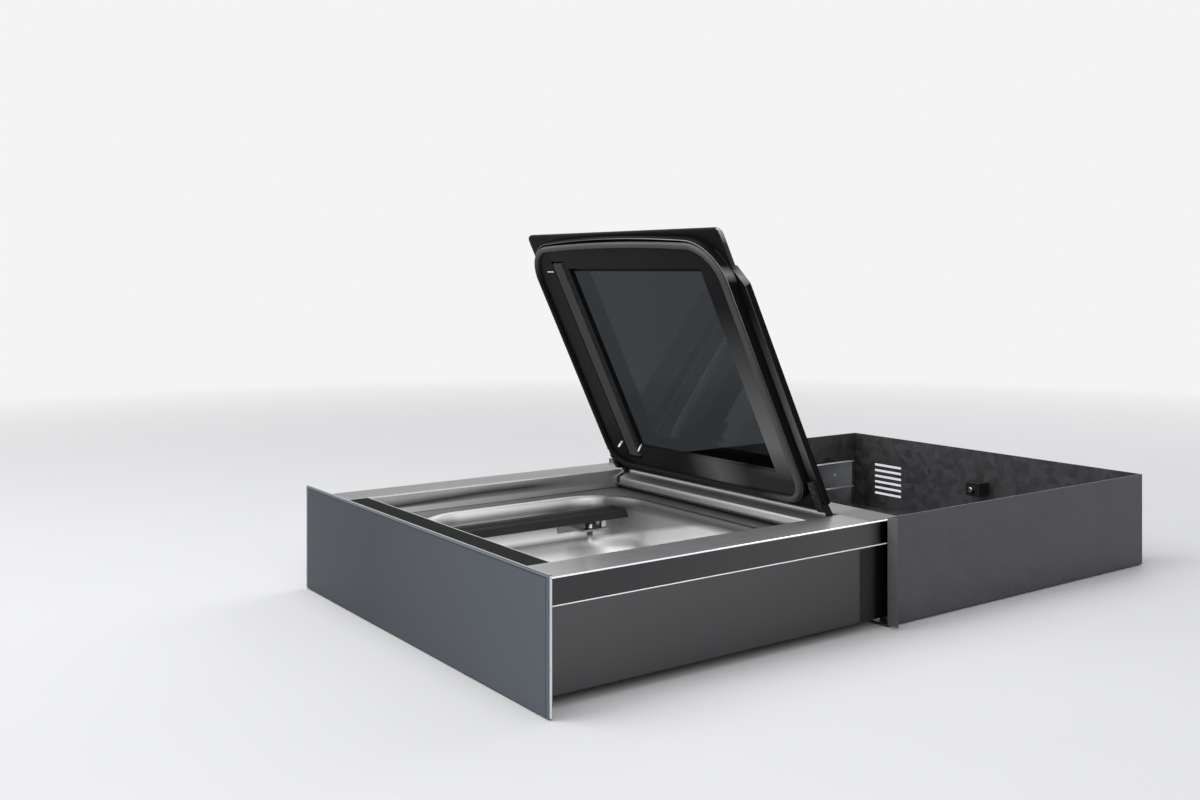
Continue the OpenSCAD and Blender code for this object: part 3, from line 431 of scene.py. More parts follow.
def edge_painted_highlight(f, base):
    """Edges carry a painted highlight only at the top and right."""
    x, _, z = f.axes()
    bright = x.between(-0.05, 0.15) * z.between(0.30, 0.44)
    return f.mixed(bright * 0.9 + x.between(0.1, 0.2) * 0.25 + z.between(0.42, 0.46) * 0.2, shade(34), base)


def lip_painted_highlight(f, base):
    """Painted highlight on the right-hand side of the lip at its corner, and a second one lower down."""
    z = f.axes()[2]
    return f.mixed(z.between(0.456, 0.466) + z.near(0.417, 0.014) * 0.9, shade(40), base)


def deep_painted_glint(f, base):
    """Plain black but for a painted glint on the wall's front right corner."""
    x, _, z = f.axes()
    return f.mixed(z.near(0.421, 0.010) * x.between(0.184, 0.192), base, shade(120))


def gasket_painted_shade(f, base):
    """Silicone grey along the front edge; painted shade elsewhere, light at the right and dark on the other
    sides.
    """
    x, _, z = f.axes()
    return f.mixed(z.below(0.41, 0.448) * (1 - x.between(0.12, 0.18) * 0.8), base, shade(26))


def seam_painted_shade(f, base):
    """Painted shade: the seam is dark only towards the back."""
    return f.mixed(f.axes()[1].between(-0.25, -0.05), shade(106), base)


def ledge_painted_light(f, base):
    """Painted light on the roll: paler to the right, and painted shade where it turns under to the flange."""
    x, _, z = f.axes()
    pale = f.mixed(x.between(-0.08, 0.12), base, shade(200, 200, 201))
    return f.mixed(z.below(0.1000, 0.1060) * 0.8, pale, shade(30))


finish = {
    "casing_sheet": plated("casing_sheet_dark", shade(92, 92, 94), 0.5),
    "casing_lip": moulded("casing_flange_dark", shade(92, 92, 93), 0.4, 700, 0.1),
    "casing_edge": plated("casing_edge_worn", shade(80, 80, 82), 0.4),
    "runner_steel": plated("runner_steel_zinc", shade(150, 152, 156), 0.4),
    # The rim and the band are one sheet: lighter above and much darker at the sides, as painted light.
    "rim": brushed("rim_steel_satin", shade(212, 212, 213), 0.3, "Y", 0.07, rim_painted_reflection, glancing=0.7),
    "wall": brushed("recess_wall_steel", shade(184, 184, 185), 0.36, "Y", 0.08, wall_painted_reflection, metal=0.72),
    # A darker copy of the rim's steel for the sides: painted shade.
    "band": brushed("band_steel_dark", shade(66, 66, 67), 0.32, "Y", 0.08, band_painted_shade),
    "side": brushed("side_panel_brushed", shade(88, 88, 89), 0.36, "Y", 0.14, side_painted_shade),
    "edge": drawn("cut_edge_bright", shade(236, 237, 240), 0.16, metal=0.5),
    # A near-white, hardly metallic strip along the folds: painted highlight.
    "fold": drawn("fold_edge_bright", shade(246, 246, 247), 0.3, metal=0.1),
    "inner_steel": plated("inner_steel_sheet", shade(160, 161, 164), 0.38),
    "inner_edge": drawn("inner_edge_sheared", shade(205, 205, 207), 0.3),
    "tub": drawn("chamber_steel_satin", shade(236), 0.4, fade=tub_painted_light, metal=0.84, dulled=tub_matt),
    # A darker copy of the tub's steel for its flange: painted shade.
    "flange": brushed("flange_steel_satin", shade(136, 136, 137), 0.34, "Y", 0.06),
    "ledge": brushed("ledge_steel_satin", shade(158, 158, 159), 0.3, "X", 0.08, ledge_painted_light),
    "slope": brushed("ledge_slope_satin", shade(150, 150, 151), 0.42, "X", 0.08, metal=0.6),
    "trim_steel": drawn("trim_steel_polished", shade(205, 206, 210), 0.15, 400),
    "pin_steel": drawn("lift_pin_steel", shade(200, 200, 201), 0.35, fade=pin_painted_shade, metal=0.84),
    "support_steel": drawn("bar_support_steel", shade(140, 141, 143), 0.3, 400),
    "front_glass": front_paint(),
    "glass_edge": moulded("front_glass_ground_edge", shade(200, 204, 211), 0.25, 800, 0.3),
    # The top of the ground edge darker than its sides: painted shade.
    "glass_top": moulded("front_glass_ground_top", shade(126, 130, 136), 0.3, 800, 0.1),
    "glass_line": moulded("front_glass_dark_line", shade(38, 40, 46), 0.3, 800, 0.2),
    "strip_glass": dark_strip(),
    "smoked_glass": smoked_pane(),
    "lid_plastic": moulded("lid_plastic_black", shade(22, 22, 23), 0.34, 1600, 0.05, fade=lid_painted_light),
    # A darker, less glossy copy of the lid's black for its walls: painted shade.
    "lid_deep": moulded("lid_plastic_deep", shade(13), 0.4, 1600, 0.03, fade=deep_painted_glint),
    # A pale copy of the lid's black on its edges: painted highlight.
    "lid_edge": moulded("lid_edge_rubbed", shade(150, 150, 151), 0.3, 1600, 0.2, fade=edge_painted_highlight),
    # A pale copy of the lid's black on its right corner faces: painted highlight.
    "lid_painted_highlight": moulded("lid_corner_silver", shade(130, 130, 131), 0.3, 1600, 0.2, fade=lip_painted_highlight),
    "black_plastic": moulded("black_plastic_fine", shade(31, 31, 32), 0.42, 1200, 0.03),
    # The bar's top darker and its sides lighter, both one black plastic: painted light.
    "bar_top": moulded("bar_plastic_black", shade(22, 22, 23), 0.46, 1200, 0.02),
    "bar_side": moulded("bar_plastic_side", shade(44, 44, 45), 0.42, 1200, 0.05),
    "black_edge": moulded("black_plastic_edge", shade(70, 70, 71), 0.36, 1200, 0.4),
    "gasket_rubber": moulded("gasket_silicone_grey", shade(80, 80, 81), 0.6, 900, 0.05, fade=gasket_painted_shade),
    # The gasket's thin lip in a pale copy of the silicone: painted highlight.
    "gasket_edge": moulded("gasket_silicone_lip", shade(200, 200, 201), 0.4, 900, 0.15, fade=edge_painted_highlight),
    "pad_rubber": moulded("pad_silicone_grey", shade(57, 57, 58), 0.55, 700, 0.08),
    "foot_rubber": moulded("foot_rubber_black", shade(26), 0.6, 500, 0.25, 0.00005),
    "arm_steel": moulded("arm_steel_coated", shade(22, 22, 23), 0.36, 900, 0.15),
    "arm_edge": moulded("arm_steel_edge", shade(52, 52, 53), 0.3, 900, 0.2),
    "sliding_tape": tape_weave(),
    "contact_brass": drawn("contact_plated", shade(190, 190, 188), 0.35, 500),
    "cast_alloy": drawn("cast_alloy_grey", shade(168, 170, 174), 0.42, 700),
    "motor_paint": moulded("motor_paint_black", shade(44, 45, 47), 0.38, 500, 0.4, 0.00006),
    "circuit_board": board_green(),
    "winding": wound_tape(),
    "core_sheets": core_sheets(),
    # A dark strip in the crease at the foot of the recess walls: painted shade.
    "seam": moulded("seam_sealant_dark", shade(62, 62, 63), 0.6, 800, 0.05, fade=seam_painted_shade),
}


# Making pieces

def meshed(bm, name):
    mesh = bpy.data.meshes.new(name)
    bm.to_mesh(mesh)
    bm.free()
    return mesh


def dressed(name, bm, body, nodes, finishes, smooth=24.0):
    """A finished shape becomes a piece of the drawer, on its body, in place of its CAD nodes."""
    mesh = meshed(bm, name)
    for key in finishes:
        mesh.materials.append(finish[key])
    mesh.shade_smooth()
    mesh.set_sharp_from_angle(angle=math.radians(smooth))
    piece = bpy.data.objects.new(name, mesh)
    bpy.context.scene.collection.objects.link(piece)
    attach(piece, body)
    if nodes:
        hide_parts(*nodes)
    return piece


def in_place_of(node, bm, finishes, smooth=24.0):
    return dressed("dressed_" + node, bm, body_of_node[node], [node], finishes, smooth)


def beside(node, name, bm, key, smooth=24.0):
    """A small part on a CAD piece: it rides with that piece and takes the finish it is given."""
    dressed(name, bm, body_of_node[node], [], [key], smooth)


def on_lid(node, bm, finishes, smooth=24.0):
    """A piece that is drawn on the closed lid goes up with it."""
    bmesh.ops.transform(bm, matrix=open_lid, verts=bm.verts)
    in_place_of(node, bm, finishes, smooth)


def even(piece):
    """Level faces stay level beside a rounded edge."""
    piece.modifiers.new("even_shading", "WEIGHTED_NORMAL").keep_sharp = True


def cad_copy(node):
    bm = bmesh.new()
    bm.from_mesh(frame["nodes"][node].data)
    bmesh.ops.remove_doubles(bm, verts=bm.verts, dist=2e-6)
    bmesh.ops.dissolve_limit(bm, angle_limit=math.radians(0.4), verts=bm.verts, edges=bm.edges)
    for face in bm.faces:
        face.material_index = 0
    bm.normal_update()
    return bm


def chamfered(bm, width, edge_index, chosen=None):
    """Breaks the sharp edges by a width in millimetres. The new faces take the finish of that index."""
    sharp = [e for e in bm.edges if len(e.link_faces) == 2 and e.calc_face_angle(0) > math.radians(28)
             and (chosen is None or chosen(e))]
    bmesh.ops.bevel(bm, geom=sharp, offset=width * MM, segments=1, affect="EDGES", clamp_overlap=True,
                    material=edge_index, loop_slide=True)


def dress_node(node, main, edge=None, width=0.25, pick=None, second=None):
    """A CAD node with broken edges. pick, of a face's normal and middle, is true for the second finish."""
    bm = cad_copy(node)
    if pick:
        for face in bm.faces:
            face.material_index = pick(face.normal, face.calc_center_median())
    names = [name for name in (main, second, edge) if name]
    chamfered(bm, width, len(names) - 1 if edge else -1)
    in_place_of(node, bm, names)


def round_about(count):
    """Directions evenly round a circle, each as its cosine and sine."""
    return [(math.cos(2 * math.pi * k / count), math.sin(2 * math.pi * k / count)) for k in range(count)]


def arc(cx, cz, r, start, end, steps):
    """Points of an arc in a section, angles in degrees from the first axis."""
    return [(cx + r * math.cos(math.radians(start + (end - start) * i / steps)),
             cz + r * math.sin(math.radians(start + (end - start) * i / steps))) for i in range(steps + 1)]


def grown(half_x, front, rear, radii, by, steps=10):
    """Corner-rounded rectangle, grown by a width, from its right rear corner round to the left."""
    half_x, front, rear = half_x + by, front - by, rear + by
    back, fore = (max(0.4, r + by) for r in radii)
    corners = ((half_x - back, rear - back, back), (back - half_x, rear - back, back),
               (fore - half_x, front + fore, fore), (half_x - fore, front + fore, fore))
    points = []
    for k, (x, y, r) in enumerate(corners):
        points += arc(x, y, r, 90 * k, 90 * k + 90, steps)
    return points


def mirrored(half):
    """An outline that is the same on both sides: the mirrored half first, then the half that is given."""
    return [(-x, y) for x, y in reversed(half)] + half


def box_outline(x0, x1, y0, y1):
    return [(x0, y0), (x1, y0), (x1, y1), (x0, y1)]


def ring_at(outline, z):
    return [(x, y, z) for x, y in outline]


def loft(bm, rings, indices=0, closed=False, place=at):
    """Skins rings of points given in millimetres. Returns the vertices of each ring."""
    rows = [[bm.verts.new(place(*p)) for p in ring] for ring in rings]
    for k, (a, b) in enumerate(zip(rows, rows[1:] + (rows[:1] if closed else []))):
        for i in range(len(a)):
            j = (i + 1) % len(a)
            face = bm.faces.new((a[i], a[j], b[j], b[i]))
            face.material_index = indices if isinstance(indices, int) else indices[k]
    return rows


def capped(bm, rows, index=0):
    """Closes a loft at both its ends."""
    for end in (rows[0], rows[-1]):
        bm.faces.new(end).material_index = index


def flat(bm, outlines, z, index=0):
    """A level face with holes: the first outline is its edge."""
    edges = []
    for outline in outlines:
        row = [bm.verts.new(at(x, y, z)) for x, y in outline]
        edges += [bm.edges.new((row[i], row[(i + 1) % len(row)])) for i in range(len(row))]
    made = bmesh.ops.triangle_fill(bm, use_beauty=True, use_dissolve=False, edges=edges)["geom"]
    for face in made:
        if isinstance(face, bmesh.types.BMFace):
            face.material_index = index


def wall(bm, outline, low, high, index=0):
    loft(bm, [ring_at(outline, low), ring_at(outline, high)], index)


def slab(bm, outline, low, high):
    flat(bm, [outline], low)
    flat(bm, [outline], high)
    wall(bm, outline, low, high)


def outward(bm):
    bmesh.ops.recalc_face_normals(bm, faces=bm.faces)


def joined(bm, dissolve=0.4):
    bmesh.ops.remove_doubles(bm, verts=bm.verts, dist=2e-6)
    outward(bm)
    if dissolve:
        bmesh.ops.dissolve_limit(bm, angle_limit=math.radians(dissolve), verts=bm.verts, edges=bm.edges,
                                 delimit={"MATERIAL"})
    bm.normal_update()


# Repeats made by Geometry Nodes

class Tree:
    """A Geometry Nodes tree under way, with named inputs."""

    def __init__(self, name, inputs):
        self.tree = bpy.data.node_groups.new(name, "GeometryNodeTree")
        self.tree.interface.new_socket("Geometry", in_out="INPUT", socket_type="NodeSocketGeometry")
        self.names = {}
        for label, kind in {**inputs, "Finish": "Material"}.items():
            socket = self.tree.interface.new_socket(label, in_out="INPUT", socket_type="NodeSocket" + kind)
            self.names[label] = socket.identifier
        self.tree.interface.new_socket("Geometry", in_out="OUTPUT", socket_type="NodeSocketGeometry")
        self.start = self.tree.nodes.new("NodeGroupInput").outputs
        self.end = self.tree.nodes.new("NodeGroupOutput")

    def add(self, kind, settings=None, **links):
        node = self.tree.nodes.new(kind)
        for name, value in (settings or {}).items():
            setattr(node, name, value)
        for name, value in links.items():
            socket = node.inputs[name.replace("_", " ")]
            if isinstance(value, bpy.types.NodeSocket):
                self.tree.links.new(value, socket)
            else:
                socket.default_value = value
        return node.outputs[0]

    def line(self, step):
        return self.add("GeometryNodeMeshLine", {"mode": "OFFSET"}, Count=self.start["Count"], Offset=step)

    def finish_with(self, geometry):
        real = self.add("GeometryNodeRealizeInstances", Geometry=geometry)
        self.tree.links.new(self.add("GeometryNodeSetMaterial", Geometry=real, Material=self.start["Finish"]),
                            self.end.inputs[0])
        return self


def row_tree():
    """The piece, set in a straight row."""
    t = Tree("row_of_pieces", {"Count": "Int", "Step": "Vector"})
    return t.finish_with(t.add("GeometryNodeInstanceOnPoints", Points=t.line(t.start["Step"]),
                               Instance=t.start["Geometry"]))


def circle_tree():
    """The piece, set round an axis through the row's own origin."""
    t = Tree("circle_of_pieces", {"Count": "Int", "Turn": "Vector"})
    turn = t.add("ShaderNodeVectorMath", {"operation": "SCALE"}, Vector=t.start["Turn"],
                 Scale=t.add("GeometryNodeInputIndex"))
    return t.finish_with(t.add("GeometryNodeInstanceOnPoints", Points=t.line((0, 0, 0)),
                               Instance=t.start["Geometry"], Rotation=turn))


def ring_tree():
    """A bead carried round a closed path, its section eased at the corners."""
    t = Tree("bead_on_path", {"Width": "Float", "Height": "Float", "Round": "Float"})
    profile = t.add("GeometryNodeCurvePrimitiveQuadrilateral",
                    Width=t.start["Width"], Height=t.start["Height"])
    eased = t.add("GeometryNodeFilletCurve", {"mode": "POLY"},
                  Curve=profile, Count=4, Radius=t.start["Round"])
    return t.finish_with(t.add("GeometryNodeCurveToMesh", Curve=t.start["Geometry"], Profile_Curve=eased))


row, circle, bead = row_tree(), circle_tree(), ring_tree()


def repeated(tree, source, **inputs):
    """Runs a tree on a mesh or curve and returns the plain mesh that it makes."""
    holder = bpy.data.objects.new("repeat_source", source)
    bpy.context.scene.collection.objects.link(holder)
    modifier = holder.modifiers.new("repeat", "NODES")
    modifier.node_group = tree.tree
    for label, value in inputs.items():
        modifier[tree.names[label]] = value
    graph = bpy.context.evaluated_depsgraph_get()
    mesh = bpy.data.meshes.new_from_object(holder.evaluated_get(graph))
    bpy.data.objects.remove(holder)
    return mesh


def combined(*meshes):
    bm = bmesh.new()
    for mesh in meshes:
        bm.from_mesh(mesh)
    for face in bm.faces:
        face.material_index = 0
    return bm


def beaded(points, width, height, ease, key):
    """A bead of a given section, in millimetres, round a closed path on the drawer."""
    curve = bpy.data.curves.new("closed_path", "CURVE")
    curve.dimensions = "3D"
    spline = curve.splines.new("POLY")
    spline.points.add(len(points) - 1)
    for point, place in zip(spline.points, points):
        point.co = (*at(*place), 1.0)
    spline.use_cyclic_u = True
    return repeated(bead, curve, Width=width * MM, Height=height * MM, Round=ease * MM, Finish=finish[key])


def knob(radius, height, levels):
    """A small round part about the origin, up along Z. A level is shares of the radius, and of the height."""
    bm = bmesh.new()
    rings = [[(radius * share * c, radius * share * s, height * level) for share, (c, s)
              in zip(shares, round_about(len(shares)))] for shares, level in levels]
    capped(bm, loft(bm, rings, place=about))
    outward(bm)
    return meshed(bm, "knob")


def screw_head(radius, height):
    """A domed screw head with a cross recess."""
    steps = 32
    cross = [0.5 if k % 8 in (7, 0, 1) else 0.2 for k in range(steps)]
    dome = [([share] * steps, level) for share, level in ((1, 0), (1, 0.45), (0.86, 0.8), (0.66, 1))]
    return knob(radius, height, dome + [(cross, 1), ([share * 0.8 for share in cross], 0.35)])


def button(radius, height):
    """A low round button for rivets and weld spots."""
    dome = ((1, 0), (0.92, 0.55), (0.7, 0.9), (0.3, 1))
    return knob(radius, height, [([share] * 20, level) for share, level in dome])


def brick(x, y, z):
    """A small block, about the middle of its foot."""
    bm = bmesh.new()
    foot = box_outline(-x / 2, x / 2, -y / 2, y / 2)
    capped(bm, loft(bm, [ring_at(foot, 0), ring_at(foot, z)], place=about))
    outward(bm)
    chamfered(bm, 0.15, 0)
    return meshed(bm, "brick")


def pointing(direction):
    """The turn that takes +Z to a direction."""
    return Vector((0, 0, 1)).rotation_difference(Vector(direction)).to_matrix().to_4x4()


def rows_of(node, name, source, key, groups):
    """Straight rows of a small part: each has a first place, the way it stands, a count and a step."""
    meshes = []
    for first, direction, count, step in groups:
        part = source.copy()
        part.transform(pointing(direction))
        made = repeated(row, part, Count=count, Step=Vector(step) * MM, Finish=finish[key])
        made.transform(Matrix.Translation(at(*first)))
        meshes.append(made)
    beside(node, name, combined(*meshes), key)


# Chamber and upper frame

def chamber_tub():
    """One drawn sheet: floor, fillet, wall, rolled rim and flange, with its underside."""
    # The flange takes a darker copy of the tub's steel as painted shade, its cut edge a painted highlight.
    tub, flange, fold = range(3)
    edge = box_outline(-BODY_HALF - 1, BODY_HALF + 1, 7, BODY_REAR)

    def opening(by):
        return grown(POCKET_HALF, POCKET_MID - POCKET_LONG, POCKET_MID + POCKET_LONG,
                     (CORNER_R, CORNER_R), by, 20)

    bm = bmesh.new()
    for sheet in (0, SHEET):
        # Offsets from the wall's inner face and heights, from the floor up. Sheet 0 is the face that shows.
        line = [(-FLOOR_R + x, z) for x, z in arc(0, FLOOR_Z + FLOOR_R, FLOOR_R + sheet, -90, 0, 12)]
        line += [(RIM_R + x, FLANGE_TOP - RIM_TALL + z * (RIM_TALL - sheet) / (RIM_R - sheet))
                 for x, z in arc(0, 0, RIM_R - sheet, 180, 90, 14)] + [(RIM_R + RIM_FLAT, FLANGE_TOP - sheet)]
        loft(bm, [ring_at(opening(by), z) for by, z in line], [tub] * (len(line) - 2) + [flange])
        flat(bm, [opening(-FLOOR_R)], FLOOR_Z - sheet)
        flat(bm, [edge, opening(RIM_R + RIM_FLAT)], FLANGE_TOP - sheet, flange)
    wall(bm, edge, FLANGE_TOP - SHEET, FLANGE_TOP, fold)
    joined(bm, 0)
    chamfered(bm, 0.3, fold, lambda e: any(f.material_index == fold for f in e.link_faces))
    even(in_place_of("chamber_tub", bm, ["tub", "flange", "fold"], 35))
    # Suction mouth: a low boss with a bore, let into the rear wall
    bm = bmesh.new()
    mouth_x, rear_wall, mouth_z = 95, POCKET_MID + POCKET_LONG, 70
    profile = ((9.5, 0.0), (9.5, -0.8), (8.8, -1.5), (5.4, -1.5), (5.0, -1.2), (5.0, 8))
    rows = loft(bm, [[(mouth_x + radius * c, rear_wall + depth, mouth_z + radius * s)
                      for c, s in round_about(40)] for radius, depth in profile])
    bm.faces.new(rows[-1])
    joined(bm, 0)
    beside("chamber_tub", "suction_mouth", bm, "trim_steel", 35)


def top_frame():
    """Rims, front bar and rear deck of one sheet, painted light: lighter above, darker at the sides, painted
    highlights along the folds.
    """
    rim, band, inside, edge, fold = range(5)
    fold_low = BODY_TOP - FOLD_TALL

    def inner(face):
        return abs(face.normal.x) > 0.9 and abs(abs(face.calc_center_median().x) / MM - RECESS_HALF) < 0.1

    def finish_of(face):
        middle = face.calc_center_median() / MM
        if inner(face) and middle.z > fold_low:
            return fold
        if face.normal.z > 0.9:
            return rim
        return band if abs(middle.x) > BODY_HALF - 0.2 and abs(face.normal.x) > 0.9 else inside

    def on_side_fold(e):
        top, side = (BODY_TOP - 0.1) * MM, (BODY_HALF - 0.1) * MM
        return all(v.co.z > top and abs(v.co.x) > side for v in e.verts)

    bm = cad_copy("top_frame")
    walls = [face for face in bm.faces if inner(face)]
    geom = walls + [*{e for face in walls for e in face.edges}, *{v for face in walls for v in face.verts}]
    bmesh.ops.bisect_plane(bm, geom=geom, plane_co=at(0, 0, fold_low), plane_no=(0, 0, 1))
    bm.normal_update()
    for face in bm.faces:
        face.material_index = finish_of(face)
    chamfered(bm, 1.2, edge, on_side_fold)
    chamfered(bm, 0.3, edge)
    # The deck's front chamfer takes the darker side finish: painted shade.
    deck_front = at(0, DECK_FRONT, 0).y
    for face in bm.faces:
        if face.material_index == edge and abs(face.calc_center_median().y - deck_front) < 0.6 * MM:
            face.material_index = band
    in_place_of("top_frame", bm, ["rim", "band", "wall", "edge", "fold"])
    # Dark strip at the foot of the recess walls: painted shade in the crease
    bm, seam = bmesh.new(), 0.7
    loft(bm, [ring_at(box_outline(by - RECESS_HALF, RECESS_HALF - by, RECESS_FRONT + by, DECK_FRONT - by),
                      FLANGE_TOP + up) for by, up in ((0, 0.9), (seam, 0.05))])
    joined(bm, 0)
    dressed("recess_seam", bm, "drawer", [], ["seam"])


def rear_ledge():
    """Front edge rolled round the hinge line, then the slope up to the deck, with bright cut ends."""
    roll_y, roll_z, roll_r, foot, steps = HINGE_Y - 0.55, 111.6, 12.5, 3.4, 22
    rise, drop = math.degrees(math.asin(4.9 / roll_r)), math.degrees(math.acos(foot / roll_r))
    foot_z = roll_z - roll_r * math.sin(math.radians(drop))
    section = [(DECK_FRONT - 0.3, foot_z)] + arc(roll_y, roll_z, roll_r, 180 + drop, 180 - rise, steps)
    section += [(DECK_FRONT, BODY_TOP - 0.8), (DECK_FRONT, BODY_TOP - 0.8 - SHEET)]
    section += arc(roll_y, roll_z, roll_r - SHEET, 180 - rise + 1, 180 + drop, steps)
    section += [(DECK_FRONT - 0.3, foot_z + SHEET)]
    # The lid's arms pass through two gaps, where only the foot goes on
    under_arms = [p for p in section if p[1] < roll_z - 4.6]
    arm_in, arm_out = 204.4, 213.6
    ends = (-RECESS_HALF, -arm_out, -arm_in, arm_in, arm_out, RECESS_HALF)
    rolled, cut, slope = range(3)
    bm = bmesh.new()
    for k, sides in enumerate(zip(ends, ends[1:])):
        part = under_arms if k % 2 else section
        capped(bm, loft(bm, [[(x, y, z) for y, z in part] for x in sides]), cut)
    joined(bm, 0)
    for face in bm.faces:
        if face.material_index == rolled and face.normal.z > 0.9:
            face.material_index = slope
    chamfered(bm, 0.35, cut, lambda e: any(f.material_index == cut for f in e.link_faces))
    even(in_place_of("rear_ledge", bm, ["ledge", "edge", "slope"], 28))


def front_glass():
    """Painted pane with ground edges and a dark line."""
    paint, ground, line, top = range(4)
    bm = cad_copy("front_glass")
    chamfered(bm, 0.6, line)
    bm.normal_update()
    # The top face takes a darker copy of the ground edge: painted shade.
    for face in bm.faces:
        n = face.normal
        if face.material_index == paint and abs(n.y) < 0.9:
            face.material_index = top if n.z > 0.5 else paint if n.z < -0.5 else ground
        elif face.material_index == line and (n.z < -0.3 or n.x < -0.3 or n.y > 0.3):
            face.material_index = paint if n.z < -0.3 else top
    in_place_of("front_glass", bm, ["front_glass", "glass_edge", "glass_line", "glass_top"])


# Lid

def raised(by, bow=4.0):
    """Outline of the raised underside, grown by a width. Its front edge is bowed forward in the middle."""
    corners = grown(RAISED_HALF, RAISED_FRONT, RAISED_REAR, (40, 53), by, 14)
    front = min(y for x, y in corners)
    points = []
    for (x0, y0), (x1, y1) in zip(corners, corners[1:] + corners[:1]):
        parts = 24 if abs(y0 - front) < 0.01 and abs(x1 - x0) > 100 else 1
        points += [(x0 + (x1 - x0) * i / parts, y0 + (y1 - y0) * i / parts) for i in range(parts)]
    bow_long = 110

    def bowed(x, y):
        """The bow is full at the front edge and fades out behind it."""
        return y + ((bow + 3) * (x / RAISED_HALF) ** 2 - bow) * max(0.0, 1 - (y - front) / bow_long)

    return [(x, bowed(x, y)) for x, y in points]


def pane(by):
    """Outline of the lid's glass seat, made smaller by a width."""
    narrow, wide, front, shoulder, rear = 201.5 - by, 210.5 - by, 119.3 + by, 142.25 + by, 437.75 - by
    return mirrored([(narrow, front), (narrow, shoulder), (wide, shoulder), (wide, rear)])


def lid_frame():
    """Cover, finger lip and raised underside with its ridge, groove and rounded corners."""
    half, arm, front, shoulder, step, rear = COVER_HALF, 204.8, 117.25, 140.25, 439.75, 457.3
    right = [(half - 12, front), (half, shoulder), (half, step), (arm, step), (arm, rear)]
    cover, seat = mirrored(right), pane(0)
    under = mirrored([(190, 420), (190, front)] + right)
    hole = box_outline(-130, WINDOW_RIGHT, 119.0, 400)
    window = box_outline(WINDOW_LEFT, WINDOW_RIGHT, 112, WINDOW_REAR)
    slot = box_outline(BAR_X - 15, BAR_X + 15, 101, 414)
    undercut, slot_deep = LID_UNDER + 6.8, LID_UNDER + 6
    # The ridge, the lip's eased edge and sharp edges carry a painted highlight; walls and sides a darker
    # black of painted shade; the right corner faces a painted highlight.
    land, painted_light, deep, painted_highlight = range(4)
    bm = bmesh.new()

    flat(bm, [cover, seat], LID_TOP)
    wall(bm, seat, LID_TOP - PANE_THICK, LID_TOP)
    flat(bm, [seat, hole], LID_TOP - PANE_THICK)
    wall(bm, cover, COVER_UNDER, LID_TOP)
    wall(bm, hole, undercut, LID_TOP - PANE_THICK, deep)
    flat(bm, [window, hole], undercut, deep)
    wall(bm, window, LID_UNDER, undercut)
    wall(bm, slot, LID_UNDER, slot_deep)
    flat(bm, [slot], slot_deep)
    flat(bm, [under], COVER_UNDER)
    # Sloping wall, rounded ridge, groove, then the level underside: how far out, how high, how much bowed
    section = [(0.4, 13, 4), (0.2, 8.5, 4.5), (-0.2, 3.5, 6.5), (-0.8, 1.2, 7),
               (-1.5, 0.3, 7), (-2.1, 0, 7), (-2.7, 0.3, 7), (-3.0, 1.2, 6.5),
               (-3.2, 2.5, 5), (-10.6, 2.5, 4), (-10.9, 0.4, 4), (-11.3, 0, 4)]
    loft(bm, [ring_at(raised(by, bow), LID_UNDER + up) for by, up, bow in section],
         [deep] * 4 + [painted_light] * 2 + [deep] * 4 + [land])
    flat(bm, [raised(-11.3), window, slot], LID_UNDER)
    # Finger lip, its front edge eased
    lip = [(grown(207, 65.75, 118.8, (1.5, 9), by, 8), z) for by, z in
           ((-2.2, 119.8), (-0.7, 119.4), (0, 118.4), (0, 115.6), (-0.6, 114.7), (-1.8, 114.3))]
    loft(bm, [ring_at(outline, z) for outline, z in lip], [painted_light, painted_light, land, land, land])
    for outline, z in (lip[0], lip[-1]):
        flat(bm, [outline], z)
    joined(bm)
    # The cover's underside ends short of its rear edge
    behind_step, under_rear = at(0, 450, 0).y, at(0, 447.35, 0).y
    for vert in bm.verts:
        if vert.co.y > behind_step and vert.co.z / MM < COVER_UNDER + 0.1:
            vert.co.y = under_rear
    bm.normal_update()
    lip_low = 114.2
    # Right corner faces take the painted highlight, side faces the painted shade.
    for face in bm.faces:
        n, middle = face.normal, (face.calc_center_median() - at(0, 0, 0)) / MM
        if n.x > 0.25 and middle.z > lip_low and middle.x > 190 and (n.y < -0.2 or middle.y < 119):
            face.material_index = painted_highlight
        elif abs(n.x) > 0.9 and middle.z > lip_low:
            face.material_index = deep
    chamfered(bm, 0.35, painted_light, lambda e: e.calc_face_angle(0) > math.radians(50)
              and all(v.co.z > 114.5 * MM for v in e.verts))
    on_lid("lid_frame", bm, ["lid_plastic", "lid_edge", "lid_deep", "lid_painted_highlight"], 40)


def lid_gasket():
    """Silicone bead in the groove, carried round by a tree, with a thin lip along its outer edge that carries
    a painted highlight.
    """
    main, lip = (beaded(ring_at(raised(by), LID_UNDER - low), width, height, ease, key)
                 for by, low, width, height, ease, key in ((-7.1, 1.0, 7.0, 7.0, 2.2, "gasket_rubber"),
                                                           (-4.6, 3.0, 1.0, 1.6, 0.3, "gasket_edge")))
    bm = combined(main, lip)
    for face in list(bm.faces)[len(main.polygons):]:
        face.material_index = 1
    outward(bm)
    on_lid("lid_gasket", bm, ["gasket_rubber", "gasket_edge"], 50)


